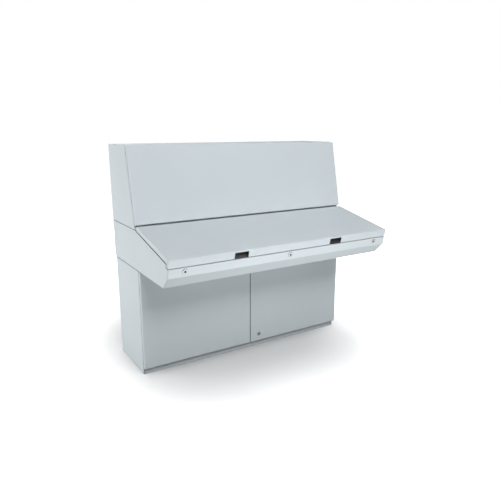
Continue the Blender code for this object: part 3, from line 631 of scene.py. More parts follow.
class Shape:
    """A mesh under construction, with the shop's operations as methods."""

    def __init__(self) -> None:
        """Start empty."""
        self.mesh = bmesh.new()

    @classmethod
    def block(cls, low: Sequence[float], high: Sequence[float]) -> Shape:
        """A box between two corners.

        Args:
            low: its lowest corner.
            high: its highest corner.

        Returns:
            The closed box.
        """
        made = cls()
        size = Vector(high) - Vector(low)
        at = Matrix.Translation(Vector(low) + size / 2.0) @ Matrix.Diagonal((*size, 1.0))
        bmesh.ops.create_cube(made.mesh, size=1.0, matrix=at)
        return made

    @classmethod
    def face(cls, outline: Sequence[Pair], axis: Axis, along: float) -> Shape:
        """A single flat face.

        Args:
            outline: flat corner points in order.
            axis: the axis across the outline.
            along: where the face lies on the axis.

        Returns:
            The open face.
        """
        made = cls()
        made.mesh.faces.new([made.mesh.verts.new(axis.lift(point, along)) for point in outline])
        return made

    @classmethod
    def plate(cls, outline: Sequence[Pair], axis: Axis, low: float, high: float) -> Shape:
        """A closed outline drawn out along an axis.

        Args:
            outline: flat corner points in order.
            axis: the axis across the outline.
            low: where the plate starts on the axis.
            high: where it ends.

        Returns:
            The closed plate.
        """
        return cls.face(outline, axis, low).draw_out(axis.unit() * (high - low))

    @classmethod
    def ribbon(
        cls, path: Sequence[Pair], axis: Axis, low: float, high: float, outer: Sequence[float]
    ) -> Shape:
        """An open path drawn out along an axis into a sheet without thickness.

        Args:
            path: flat points in order.
            axis: the axis across the path.
            low: where the sheet starts on the axis.
            high: where it ends.
            outer: the way that the first run's outer side faces.

        Returns:
            The open sheet, its faces turned to the outer side.
        """
        made = cls()
        points = [made.mesh.verts.new(axis.lift(point, low)) for point in path]
        edges = [made.mesh.edges.new(pair) for pair in zip(points, points[1:])]
        made.turn_out(edges, axis.unit() * (high - low))
        first = (Vector(path[0]) + Vector(path[1])) / 2.0
        return made.face_out(outer, axis.lift(tuple(first), (low + high) / 2.0))

    @classmethod
    def turned(cls, profile: Sequence[Pair], steps: int = ROUND) -> Shape:
        """A (radius, height) profile turned about z.

        Args:
            profile: points that start and end on the axis, or that close on themselves.
            steps: facets round the axis.

        Returns:
            The closed turning.
        """
        made = cls()
        points = [made.mesh.verts.new((radius, 0.0, height)) for radius, height in profile]
        edges = [made.mesh.edges.new(pair) for pair in zip(points, points[1:])]
        if profile[0][0] > 0.0:
            edges.append(made.mesh.edges.new((points[-1], points[0])))
        bmesh.ops.spin(
            made.mesh,
            geom=points + edges,
            cent=(0.0, 0.0, 0.0),
            axis=(0.0, 0.0, 1.0),
            angle=math.tau,
            steps=steps,
            use_merge=True,
        )
        return made.close()

    @classmethod
    def cylinder(cls, radius: float, low: float, high: float, steps: int = ROUND) -> Shape:
        """A solid cylinder about z."""
        return cls.turned([(0.0, low), (radius, low), (radius, high), (0.0, high)], steps)

    @classmethod
    def hexagon(cls, flats: float, low: float, high: float) -> Shape:
        """A hexagonal bar about z.

        Args:
            flats: its width across the flats.
            low: where it starts.
            high: where it ends.

        Returns:
            The closed bar.
        """
        made = cls()
        radius = flats / math.sqrt(3.0)
        bmesh.ops.create_cone(
            made.mesh,
            cap_ends=True,
            segments=6,
            radius1=radius,
            radius2=radius,
            depth=high - low,
            matrix=Matrix.Translation((0.0, 0.0, (low + high) / 2.0)),
        )
        return made

    @classmethod
    def sheet(cls, low: Pair, high: Pair, y: float, corner: float) -> Shape:
        """A flat rectangle in x and z with rounded corners.

        Args:
            low: lower left corner.
            high: upper right corner.
            y: the sheet's plane.
            corner: radius of the corners.

        Returns:
            The single face.
        """
        made = cls.face([low, (high[0], low[1]), high, (low[0], high[1])], Axis.Y, y)
        bmesh.ops.bevel(
            made.mesh,
            geom=made.mesh.verts[:],
            offset=corner,
            offset_type="ABSOLUTE",
            segments=BEND_STEPS + 1,
            profile=0.5,
            affect="VERTICES",
            material=-1,
        )
        return made

    @classmethod
    def rim(
        cls, low: Vector, high: Vector, openings: Sequence[tuple[Pair, Pair]], upstand: float
    ) -> Shape:
        """A flat frame round openings side by side, each with its edge turned outward.

        Args:
            low: lowest corner of the frame, its y at the turned edge's end.
            high: highest corner of the frame, its y at the sheet's back.
            openings: lower left and upper right corner of each opening, from left to right.
            upstand: how far the turned edges stand out of the face.

        Returns:
            The folded frame in its full thickness.
        """
        made = cls()
        face = high.y - SHEET
        joints = [(a[1][0] + b[0][0]) / 2.0 for a, b in zip(openings, openings[1:])]
        limits = [low.x, *joints, high.x]
        for (start, end), left, right in zip(openings, limits, limits[1:]):
            cell = cls.sheet(start, end, face, RIM_CORNER)
            middle = (Vector(start) + Vector(end)) / 2.0
            inner = cell.mesh.faces[:]
            grown = bmesh.ops.extrude_edge_only(cell.mesh, edges=cell.mesh.edges[:])["geom"]
            for item in grown:
                if isinstance(item, bmesh.types.BMVert):
                    item.co.x = right if item.co.x > middle.x else left
                    item.co.z = high.z if item.co.z > middle.y else low.z
            bmesh.ops.delete(cell.mesh, geom=inner, context="FACES_ONLY")
            made.add(cell)
        bmesh.ops.remove_doubles(made.mesh, verts=made.mesh.verts, dist=WELD)
        edge_limits = (low.x, high.x, low.z, high.z)
        turned_up = [
            edge
            for edge in made.mesh.edges
            if edge.is_boundary
            and not any(
                abs(value - limit) < WELD
                for vert in edge.verts
                for value, limit in zip((vert.co.x, vert.co.x, vert.co.z, vert.co.z), edge_limits)
            )
        ]
        made.turn_out(turned_up, Vector((0.0, -upstand, 0.0)))
        at = Vector((low.x, face, low.z))
        return made.face_out((0.0, -1.0, 0.0), at).fold().thicken()

    @classmethod
    def pan(cls, low: Sequence[float], high: Sequence[float]) -> Shape:
        """A box of sheet that is open at the back, its corners still sharp."""
        sides = [axis.unit() * way for axis in Axis for way in (-1.0, 1.0)]
        return cls.block(low, high).keep([side for side in sides if side.y < 0.5])

    @classmethod
    def gasket(cls, low: Vector, high: Vector) -> Shape:
        """A domed strip with rounded corners, its flat side at the lower y.

        Args:
            low: lowest corner of the strip.
            high: highest corner of the strip.

        Returns:
            The closed strip.
        """
        thick = high.y - low.y
        made = cls.sheet((low.x, low.z), (high.x, high.z), low.y, SEAL_CORNER)
        bmesh.ops.inset_individual(
            made.mesh, faces=made.mesh.faces[:], thickness=SEAL_WIDTH, use_even_offset=True
        )
        inner = max(made.mesh.faces, key=lambda face: face.calc_area())
        bmesh.ops.delete(made.mesh, geom=[inner], context="FACES_ONLY")
        made.draw_out(Vector((0.0, thick, 0.0)))
        crown = [
            edge
            for edge in made.mesh.edges
            if min(vert.co.y for vert in edge.verts) > high.y - WELD
            and edge.calc_face_angle() > FOLD_FROM
        ]
        return made.round_edges(crown, min(SEAL_WIDTH * 0.36, thick * 0.6), 4)

    def keep(self, sides: Sequence[Vector]) -> Shape:
        """Leave only the faces that look to the given sides.

        Args:
            sides: directions of length one.

        Returns:
            The shape itself.
        """
        self.mesh.normal_update()
        lost = [
            face
            for face in self.mesh.faces
            if max(face.normal.dot(way) for way in sides) < 0.5
        ]
        bmesh.ops.delete(self.mesh, geom=lost, context="FACES")
        return self

    def close(self) -> Shape:
        """Merge doubled points and turn all faces outward."""
        bmesh.ops.remove_doubles(self.mesh, verts=self.mesh.verts, dist=WELD)
        bmesh.ops.recalc_face_normals(self.mesh, faces=self.mesh.faces)
        return self

    def face_out(self, outer: Sequence[float], near: Vector) -> Shape:
        """Turn an open sheet to its outer side.

        Args:
            outer: the way that the outer side faces.
            near: where on the sheet it faces that way.

        Returns:
            The shape itself.
        """
        bmesh.ops.recalc_face_normals(self.mesh, faces=self.mesh.faces)
        self.mesh.normal_update()
        face = min(self.mesh.faces, key=lambda item: (item.calc_center_median() - near).length)
        if face.normal.dot(Vector(outer)) < 0.0:
            bmesh.ops.reverse_faces(self.mesh, faces=self.mesh.faces)
        self.mesh.normal_update()
        return self

    def push(self, grown: Sequence[object], shift: Vector) -> None:
        """Move the points among newly grown parts of the mesh."""
        moved = [item for item in grown if isinstance(item, bmesh.types.BMVert)]
        bmesh.ops.translate(self.mesh, verts=moved, vec=shift)

    def draw_out(self, shift: Vector) -> Shape:
        """Draw flat faces out into a solid."""
        grown = bmesh.ops.extrude_face_region(self.mesh, geom=self.mesh.faces[:])["geom"]
        self.push(grown, shift)
        return self.close()

    def turn_out(self, edges: Sequence[bmesh.types.BMEdge], shift: Vector) -> None:
        """Draw edges out into a strip of sheet."""
        self.push(bmesh.ops.extrude_edge_only(self.mesh, edges=edges)["geom"], shift)

    def round_edges(self, edges: Sequence[bmesh.types.BMEdge], width: float, steps: int) -> Shape:
        """Round chosen edges off.

        Args:
            edges: the edges.
            width: how far from an edge the rounding starts.
            steps: facets round an edge.

        Returns:
            The shape itself.
        """
        bmesh.ops.bevel(
            self.mesh,
            geom=list(edges),
            offset=width,
            offset_type="OFFSET",
            segments=steps,
            profile=0.5,
            affect="EDGES",
            material=-1,
        )
        return self

    def fold(self, radius: float = FOLD, sheet: float = SHEET) -> Shape:
        """Bend every sharp edge of an open sheet to its press radius.

        Args:
            radius: outside radius of a bend.
            sheet: thickness that the sheet will have, which an inside bend is smaller by.

        Returns:
            The shape itself.
        """
        self.mesh.normal_update()
        groups: dict[tuple[bool, float], list[bmesh.types.BMEdge]] = {}
        for edge in self.mesh.edges:
            if edge.is_manifold and edge.calc_face_angle() > FOLD_FROM:
                key = (edge.is_convex, round(edge.calc_face_angle(), 3))
                groups.setdefault(key, []).append(edge)
        for (convex, bend), edges in groups.items():
            bend_radius = radius if convex else radius - sheet
            self.round_edges(edges, bend_radius * math.tan(bend / 2.0), BEND_STEPS)
        return self

    def thicken(self, sheet: float = SHEET) -> Shape:
        """Give an open sheet its thickness behind its faces."""
        self.mesh.normal_update()
        bmesh.ops.solidify(self.mesh, geom=self.mesh.faces[:], thickness=sheet)
        return self

    def part(self, point: Sequence[float], normal: Sequence[float], drop: bool = False) -> Shape:
        """Part a sheet along a plane.

        Args:
            point: a point on the plane.
            normal: the plane's direction.
            drop: whether what lies beyond the plane is lost.

        Returns:
            The shape itself.
        """
        bmesh.ops.bisect_plane(
            self.mesh,
            geom=self.mesh.verts[:] + self.mesh.edges[:] + self.mesh.faces[:],
            dist=WELD,
            plane_co=Vector(point),
            plane_no=Vector(normal),
            clear_outer=drop,
        )
        return self

    def cut_away(self, low: Sequence[float], high: Sequence[float]) -> Shape:
        """Cut the part of an open sheet that lies in a box out of it.

        Args:
            low: the box's lowest corner.
            high: its highest corner.

        Returns:
            The shape itself.
        """
        for axis in Axis:
            for corner in (low, high):
                self.part(corner, axis.unit())
        lost = [
            face
            for face in self.mesh.faces
            if all(a < c < b for a, c, b in zip(low, face.calc_center_median(), high))
        ]
        bmesh.ops.delete(self.mesh, geom=lost, context="FACES")
        bmesh.ops.dissolve_limit(
            self.mesh, angle_limit=0.01, verts=self.mesh.verts[:], edges=self.mesh.edges[:]
        )
        return self

    def place(self, matrix: Matrix) -> Shape:
        """Move the shape."""
        bmesh.ops.transform(self.mesh, matrix=matrix, verts=self.mesh.verts)
        return self

    def shift(self, x: float, y: float, z: float) -> Shape:
        """Move the shape along the axes."""
        return self.place(Matrix.Translation((x, y, z)))

    def copy(self) -> Shape:
        """A second shape like this one.

        Returns:
            The copy.
        """
        made = Shape()
        made.mesh.free()
        made.mesh = self.mesh.copy()
        return made

    def add(self, other: Shape) -> Shape:
        """Take another shape in beside this one.

        Args:
            other: the shape, which is used up.

        Returns:
            The shape itself.
        """
        held = bpy.data.meshes.new("held")
        other.mesh.to_mesh(held)
        other.mesh.free()
        self.mesh.from_mesh(held)
        bpy.data.meshes.remove(held)
        return self

    def machine(self, tool: Shape, work: Work) -> Shape:
        """Work on the shape with a tool.

        Args:
            tool: a closed shape, which is used up.
            work: what the tool does.

        Returns:
            The shape itself.
        """
        objects = []
        for item in (self, tool):
            mesh = bpy.data.meshes.new("work")
            item.mesh.to_mesh(mesh)
            item.mesh.free()
            objects.append(bpy.data.objects.new("work", mesh))
            bpy.context.scene.collection.objects.link(objects[-1])
        step = objects[0].modifiers.new("work", "BOOLEAN")
        step.object, step.operation, step.solver = objects[1], work.value, "EXACT"
        graph = bpy.context.evaluated_depsgraph_get()
        result = bpy.data.meshes.new_from_object(objects[0].evaluated_get(graph))
        self.mesh = bmesh.new()
        self.mesh.from_mesh(result)
        for made in objects:
            mesh = made.data
            bpy.data.objects.remove(made)
            bpy.data.meshes.remove(mesh)
        bpy.data.meshes.remove(result)
        bmesh.ops.dissolve_degenerate(self.mesh, dist=WELD, edges=self.mesh.edges[:])
        return self

    def drill(self, tool: Shape) -> Shape:
        """Cut a tool out of the shape."""
        return self.machine(tool, Work.CUT)

    def weld(self, tool: Shape) -> Shape:
        """Join a shape to this one."""
        return self.machine(tool, Work.JOIN)

    def within(self, tool: Shape) -> Shape:
        """Keep only what lies inside a tool."""
        return self.machine(tool, Work.SHARE)

    def piece(
        self,
        name: str,
        finish: Finish,
        body: str,
        *nodes: str,
        datum: Datum = Datum.UPRIGHT,
        ease: float = EASE,
    ) -> bpy.types.Object:
        """Finish the shape as a named piece on a body.

        Args:
            name: the piece's name.
            finish: its surface.
            body: the CAD body that it rides on.
            nodes: the CAD nodes that it stands for.
            datum: the face that it was drawn on.
            ease: how far its sharp edges are rounded.

        Returns:
            The finished object.
        """
        self.place(datum.matrix)
        mesh = bpy.data.meshes.new(name)
        self.mesh.to_mesh(mesh)
        self.mesh.free()
        mesh.materials.append(finish.material())
        mesh.shade_smooth()
        made = bpy.data.objects.new(name, mesh)
        bpy.context.scene.collection.objects.link(made)
        if ease > 0.0:
            edges = made.modifiers.new("eased edges", "BEVEL")
            edges.width, edges.segments = ease, 2
            edges.limit_method, edges.angle_limit = "ANGLE", EASE_FROM
        normals = made.modifiers.new("flat faces", "WEIGHTED_NORMAL")
        normals.weight = FLAT_WEIGHT
        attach(made, body)
        if nodes:
            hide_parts(*nodes)
        LOG.info("%s: %s on %s", name, finish.name, body)
        return made


def arc(centre: Pair, radius: float, start: float, end: float, steps: int = 16) -> list[Pair]:
    """Points along an arc.

    Args:
        centre: the arc's centre.
        radius: its radius.
        start: first angle in radians.
        end: last angle in radians.
        steps: chords along it.

    Returns:
        The points in order.
    """
    angles = [start + (end - start) * step / steps for step in range(steps + 1)]
    return [(centre[0] + radius * math.cos(a), centre[1] + radius * math.sin(a)) for a in angles]


@dataclass(frozen=True)
class Fasteners:
    """Screws and nuts, drawn about z with their seat at zero and the head above it."""

    head_radius: float = 0.0048
    sunk: float = 0.0006
    shank: float = 0.0075
    socket: float = 0.0032
    socket_depth: float = 0.0030
    sink_edge: float = 0.0002
    root: float = 0.002
    nut_flats: float = 0.010
    nut_height: float = 0.0050
    nut_chamfer: float = 0.0011
    washer: float = 0.001
    stud: float = 0.003
    stud_end: float = 0.0024
    stud_chamfer: float = 0.0006
    facets: int = 24

    def countersunk(self) -> Shape:
        """A flush socket screw, its face just under the seat plane.

        Returns:
            The screw.
        """
        r, neck = self.head_radius, self.head_radius * 0.5
        profile = [(0.0, -self.shank), (neck, -self.shank), (neck, -self.sunk - r * 0.55),
                   (r, -self.sunk), (0.0, -self.sunk)]
        head = Shape.turned(profile, self.facets)
        return head.drill(Shape.hexagon(self.socket, -self.socket_depth, PAST))

    def countersink(self) -> Shape:
        """The hole that a flush screw sits in.

        Returns:
            The tool to cut it with.
        """
        r, end = self.head_radius + SEAT, -2.0 * PAST
        neck = r * 0.55
        profile = [(0.0, end), (neck, end), (neck, -self.sunk - r * 0.5), (r, -self.sink_edge),
                   (r, PAST), (0.0, PAST)]
        return Shape.turned(profile, self.facets)

    def button(self, radius: float = 0.0042, height: float = 0.0022) -> Shape:
        """A low domed socket screw.

        Args:
            radius: the head's radius.
            height: the head's height.

        Returns:
            The screw.
        """
        neck = radius * 0.5
        profile = [(0.0, -self.root), (neck, -self.root), (neck, 0.0), (radius, 0.0),
                   (radius, height * 0.25), (radius * 0.88, height * 0.68),
                   (radius * 0.62, height), (0.0, height)]
        socket = Shape.hexagon(radius * 0.66, height * 0.3, height * 2.0)
        return Shape.turned(profile, self.facets).drill(socket)

    def nut(self) -> Shape:
        """A washer and a hexagon nut on the end of a stud.

        Returns:
            All three.
        """
        r, base, rim = self.stud, self.washer, self.nut_flats * 0.72
        washer = Shape.turned([(r, 0.0), (rim, 0.0), (rim, base), (r, base)], self.facets)
        top, crown = base + self.nut_height, self.nut_flats / math.sqrt(3.0)
        start, wide = base / 2.0, crown * 1.02
        chamfer = [(0.0, start), (wide, start), (wide, top - self.nut_chamfer),
                   (crown * 0.86, top), (0.0, top)]
        body = Shape.hexagon(self.nut_flats, base, top)
        body.within(Shape.turned(chamfer, self.facets))
        foot, end = top - base, top + self.stud_end
        tip = [(0.0, foot), (r, foot), (r, end - self.stud_chamfer), (r * 0.8, end), (0.0, end)]
        return washer.add(body).add(Shape.turned(tip, 20))

    @staticmethod
    def set_out(pattern: Shape, places: Sequence[Vector], turn: Matrix) -> Shape:
        """Repeat a fastener.

        Args:
            pattern: the fastener about z.
            places: where each one's seat is.
            turn: the way that its head faces.

        Returns:
            All of them as one shape.
        """
        made = Shape()
        for place in places:
            made.add(pattern.copy().place(Matrix.Translation(place) @ turn))
        pattern.mesh.free()
        return made


FASTENERS = Fasteners()


def spread(low: float, high: float, count: int) -> list[float]:
    """Evenly spaced numbers from low to high."""
    return [low + (high - low) * step / (count - 1) for step in range(count)]


def fit_gasket(datum: Datum, seal: str, name: str, body: str) -> None:
    """Lay a gasket where the CAD has a seal.

    Args:
        datum: the face that it lies on.
        seal: the seal's CAD node.
        name: the gasket's name.
        body: the CAD body that it rides on.
    """
    strip = Shape.gasket(*datum.extent(seal))
    strip.piece(name, FOAM, body, seal, datum=datum, ease=0.0)


@dataclass(frozen=True)
class SideWall:
    """A cabinet side, its rear edge folded inward, and its foot or its head where it has one.

    A foot or a head keeps a joint's height from the next section; a head starts behind its rim.
    The front edge is set back a little, which widens the joint at the closure.
    """

    node: str
    hand: Hand
    piece: str
    foot: float | None = None
    head: float | None = None
    rim: str = ""
    set_back: float = 0.0018

    def build(self, lean: float = 0.0) -> None:
        """Fold the sheet and dress it.

        Args:
            lean: how far its front edge leans back, in radians.
        """
        low, high = Datum.UPRIGHT.extent(self.node)
        low.y += self.set_back
        front = low.copy()
        sides = [Axis.X.unit() * self.hand.value, Axis.Y.unit()]
        if self.foot is not None:
            sides.append(-Axis.Z.unit())
            low.z += self.foot
        if self.head is not None:
            sides.append(Axis.Z.unit())
            high.z -= self.head
        wall = Shape.block(low, high).keep(sides)
        if self.rim:
            behind = Datum.UPRIGHT.extent(self.rim)[1].y + SEAT
            plane = high.z - WELD / 2.0
            wall.cut_away((-FAR, -FAR, plane), (FAR, behind, high.z + FAR))
        if lean > 0.0:
            across = (0.0, -math.cos(lean), math.sin(lean))
            wall.part((0.0, front.y, front.z), across, drop=True)
        wall.fold().thicken().piece(self.piece, PAINT, ROOT, self.node)


@dataclass(frozen=True)
class RearSkin:
    """A flat rear panel held by flush socket screws."""

    node: str
    piece: str
    rows: int
    top_row: bool
    inset: float = 0.022
    side_end: float = 0.0352
    row_end: float = 0.110
    row_top: float = 0.011
    row_bottom: float = 0.0132
    corner: float = 0.006
    along: int = 5

    def build(self) -> None:
        """Cut the panel, countersink it and screw it on."""
        low, high = Datum.UPRIGHT.extent(self.node)
        row = high.z - self.row_top if self.top_row else low.z + self.row_bottom
        places = [
            Vector((x, high.y, z))
            for x in (low.x + self.inset, high.x - self.inset)
            for z in spread(low.z + self.side_end, high.z - self.side_end, self.rows)
        ]
        ends = spread(low.x + self.row_end, high.x - self.row_end, self.along)
        places += [Vector((x, high.y, row)) for x in ends]
        skin = Shape.sheet((low.x, low.z), (high.x, high.z), low.y, self.corner)
        skin.draw_out(Vector((0.0, high.y - low.y, 0.0)))
        skin.drill(Fasteners.set_out(FASTENERS.countersink(), places, INWARD))
        skin.piece(self.piece, PAINT, ROOT, self.node)
        screws = Fasteners.set_out(FASTENERS.countersunk(), places, INWARD)
        screws.piece(f"{self.piece}_screws", ZINC, ROOT, ease=0.0)


@dataclass(frozen=True)
class BaseCabinet:
    """The base's walls, door frame, floor, gland plate, equipment plate and rear skin."""

    joint: float = 0.008
    upstand: float = 0.012
    way_lap: float = 0.015
    cover_corner: float = 0.004
    cover_screws: int = 7
    plate_sheet: float = 0.0025
    nut_inset: float = 0.030

    def build(self) -> None:
        """Make every fixed piece of the base."""
        for hand in Hand:
            node, piece = f"base_{hand.word}_side", f"base_{hand.word}_wall"
            SideWall(node, hand, piece, head=self.joint, rim="base_door_frame").build()
        self.door_frame()
        self.floor()
        self.equipment_plate()
        RearSkin("base_rear_panel", "base_rear_skin", rows=5, top_row=False).build()

    def door_frame(self) -> None:
        """The frame that both doors close on, with the post between them."""
        low, high = Datum.UPRIGHT.extent("base_door_frame")
        openings = [Datum.UPRIGHT.opening(f"{hand.word}_door_seal") for hand in Hand]
        rim = Shape.rim(low, high, openings, self.upstand)
        rim.piece("door_frame", PAINT, ROOT, "base_door_frame")

    def floor(self) -> None:
        """The folded floor, its cable opening and the plate screwed over that."""
        low, high = Datum.UPRIGHT.extent("base_floor")
        start, end = Datum.UPRIGHT.extent("base_gland_plate")
        path = [(low.y, high.z), (low.y, low.z), (high.y, low.z), (high.y, high.z)]
        floor = Shape.ribbon(path, Axis.X, low.x, high.x, (0.0, -1.0, 0.0)).fold().thicken()
        lap = self.way_lap
        way = Shape.block((start.x + lap, start.y + lap, -PAST), (end.x - lap, end.y - lap, PAST))
        floor.drill(way).piece("base_floor_pan", PAINT, ROOT, "base_floor")
        plate = Shape.sheet((start.x, start.y), (end.x, end.y), 0.0, self.cover_corner)
        plate.place(INWARD).shift(0.0, 0.0, start.z).draw_out(Vector((0.0, 0.0, end.z - start.z)))
        plate.piece("gland_cover", GALVANISED, ROOT, "base_gland_plate")
        inset = lap / 2.0
        places = [
            Vector((x, y, end.z))
            for x in spread(start.x + inset, end.x - inset, self.cover_screws)
            for y in (start.y + inset, end.y - inset)
        ]
        screws = Fasteners.set_out(FASTENERS.button(), places, Matrix.Identity(4))
        screws.piece("gland_cover_screws", ZINC, ROOT, ease=0.0)

    def equipment_plate(self) -> None:
        """The galvanised plate that the equipment is mounted on, and its nuts."""
        low, high = Datum.UPRIGHT.extent("base_mounting_plate")
        plate = Shape.pan(low, high).fold(FOLD, self.plate_sheet).thicken(self.plate_sheet)
        plate.piece("equipment_plate", GALVANISED, ROOT, "base_mounting_plate")
        places = [
            Vector((x, low.y, z))
            for x in (low.x + self.nut_inset, 0.0, high.x - self.nut_inset)
            for z in (low.z + self.nut_inset, high.z - self.nut_inset)
        ]
        nuts = Fasteners.set_out(FASTENERS.nut(), places, OUTWARD)
        nuts.piece("equipment_plate_nuts", ZINC, ROOT, ease=0.0)


@dataclass(frozen=True)
class ConcealedHinge:
    """A concealed hinge about z: x from the pin to the closure's free edge, -y out of its face."""

    name: str
    datum: Datum
    turn: Matrix
    leaf_body: str
    pin_radius: float = 0.0025
    pin_head: float = 0.003625
    pin_crown: float = 0.0009
    run: float = 0.0003
    eye: float = 0.0040
    half_knuckle: float = 0.012
    ear: float = 0.004
    arm_low: float = 0.003
    neck: float = 0.015
    neck_width: float = 0.008
    neck_fillet: float = 0.002
    foot: float = 0.038
    foot_thick: float = 0.0025
    foot_corner: float = 0.004
    foot_screws: float = 0.009
    foot_screw_head: Pair = (0.0036, 0.0018)
    leaf: float = 0.030
    leaf_face: float = 0.0077
    leaf_inner: float = 0.0032
    leaf_corner: float = 0.0035
    leaf_screws: Pair = (0.018, 0.006)
    leaf_screw_head: Pair = (0.0036, 0.0016)

    def build(self) -> None:
        """Make the bracket with its pin, and the leaf."""
        leaf_low, leaf_high = self.datum.extent(f"{self.name}_leaf")
        high = self.datum.extent(f"{self.name}_bracket")[1]
        way = self.turn @ Vector((1.0, 0.0, 0.0))
        middle = (leaf_low + leaf_high) / 2.0
        reach = (self.leaf - self.eye) / 2.0
        pin = Vector((middle.x - way.x * reach, leaf_high.y - self.eye, middle.z - way.z * reach))
        at = Matrix.Translation(pin) @ self.turn
        self.bracket(high.y - pin.y).place(at).piece(
            f"{self.name}_gooseneck", ZINC, ROOT, f"{self.name}_bracket", datum=self.datum
        )
        self.knuckle().place(at).piece(
            f"{self.name}_knuckle", ZINC, self.leaf_body, f"{self.name}_leaf", datum=self.datum
        )

    def bracket(self, foot_y: float) -> Shape:
        """The two goosenecked ears, the foot that joins them, the pin and the foot's screws.

        Args:
            foot_y: the foot's seat behind the pin.

        Returns:
            The bracket about its pin.
        """
        low = self.half_knuckle + self.run
        high = low + self.ear
        end, fillet = self.neck + self.neck_width, self.neck_fillet
        outline = arc((0.0, 0.0), self.eye, -QUARTER, -3.0 * QUARTER)
        outline[-1] = (0.0, self.arm_low)
        outline += arc((self.neck - fillet, self.arm_low + fillet), fillet, -QUARTER, 0.0, 4)
        outline += [(self.neck, foot_y), (end, foot_y)]
        outline += arc((end - self.eye, 0.0), self.eye, 0.0, -QUARTER, 6)
        made = Shape.plate(outline, Axis.Z, low, high)
        made.weld(Shape.plate(outline, Axis.Z, -high, -low))
        face = foot_y - self.foot_thick
        foot = Shape.sheet((self.neck, -high), (self.foot, high), face, self.foot_corner)
        made.weld(foot.draw_out(Vector((0.0, self.foot_thick, 0.0))))
        head, tip = self.pin_head, high + self.pin_crown
        half = [(self.pin_radius, high), (head, high), (head * 0.7, tip), (0.0, tip)]
        made.weld(Shape.turned([(r, -z) for r, z in half[::-1]] + half, 24))
        middle = (end + self.foot) / 2.0
        places = [Vector((middle, face, side * self.foot_screws)) for side in (-1.0, 1.0)]
        screw = FASTENERS.button(*self.foot_screw_head)
        return made.add(Fasteners.set_out(screw, places, OUTWARD))

    def knuckle(self) -> Shape:
        """The leaf with its knuckle and two screws.

        Returns:
            The leaf about its pin.
        """
        half, bore = self.half_knuckle, self.pin_radius + self.run
        made = Shape.turned([(bore, -half), (self.eye, -half), (self.eye, half), (bore, half)], 32)
        plate = Shape.sheet(
            (-self.eye, -half), (self.leaf, half), -self.leaf_face, self.leaf_corner
        )
        made.weld(plate.draw_out(Vector((0.0, self.leaf_face - self.leaf_inner, 0.0))))
        along, apart = self.leaf_screws
        places = [Vector((along, -self.leaf_inner, side * apart)) for side in (-1.0, 1.0)]
        screw = FASTENERS.button(*self.leaf_screw_head)
        return made.add(Fasteners.set_out(screw, places, INWARD))


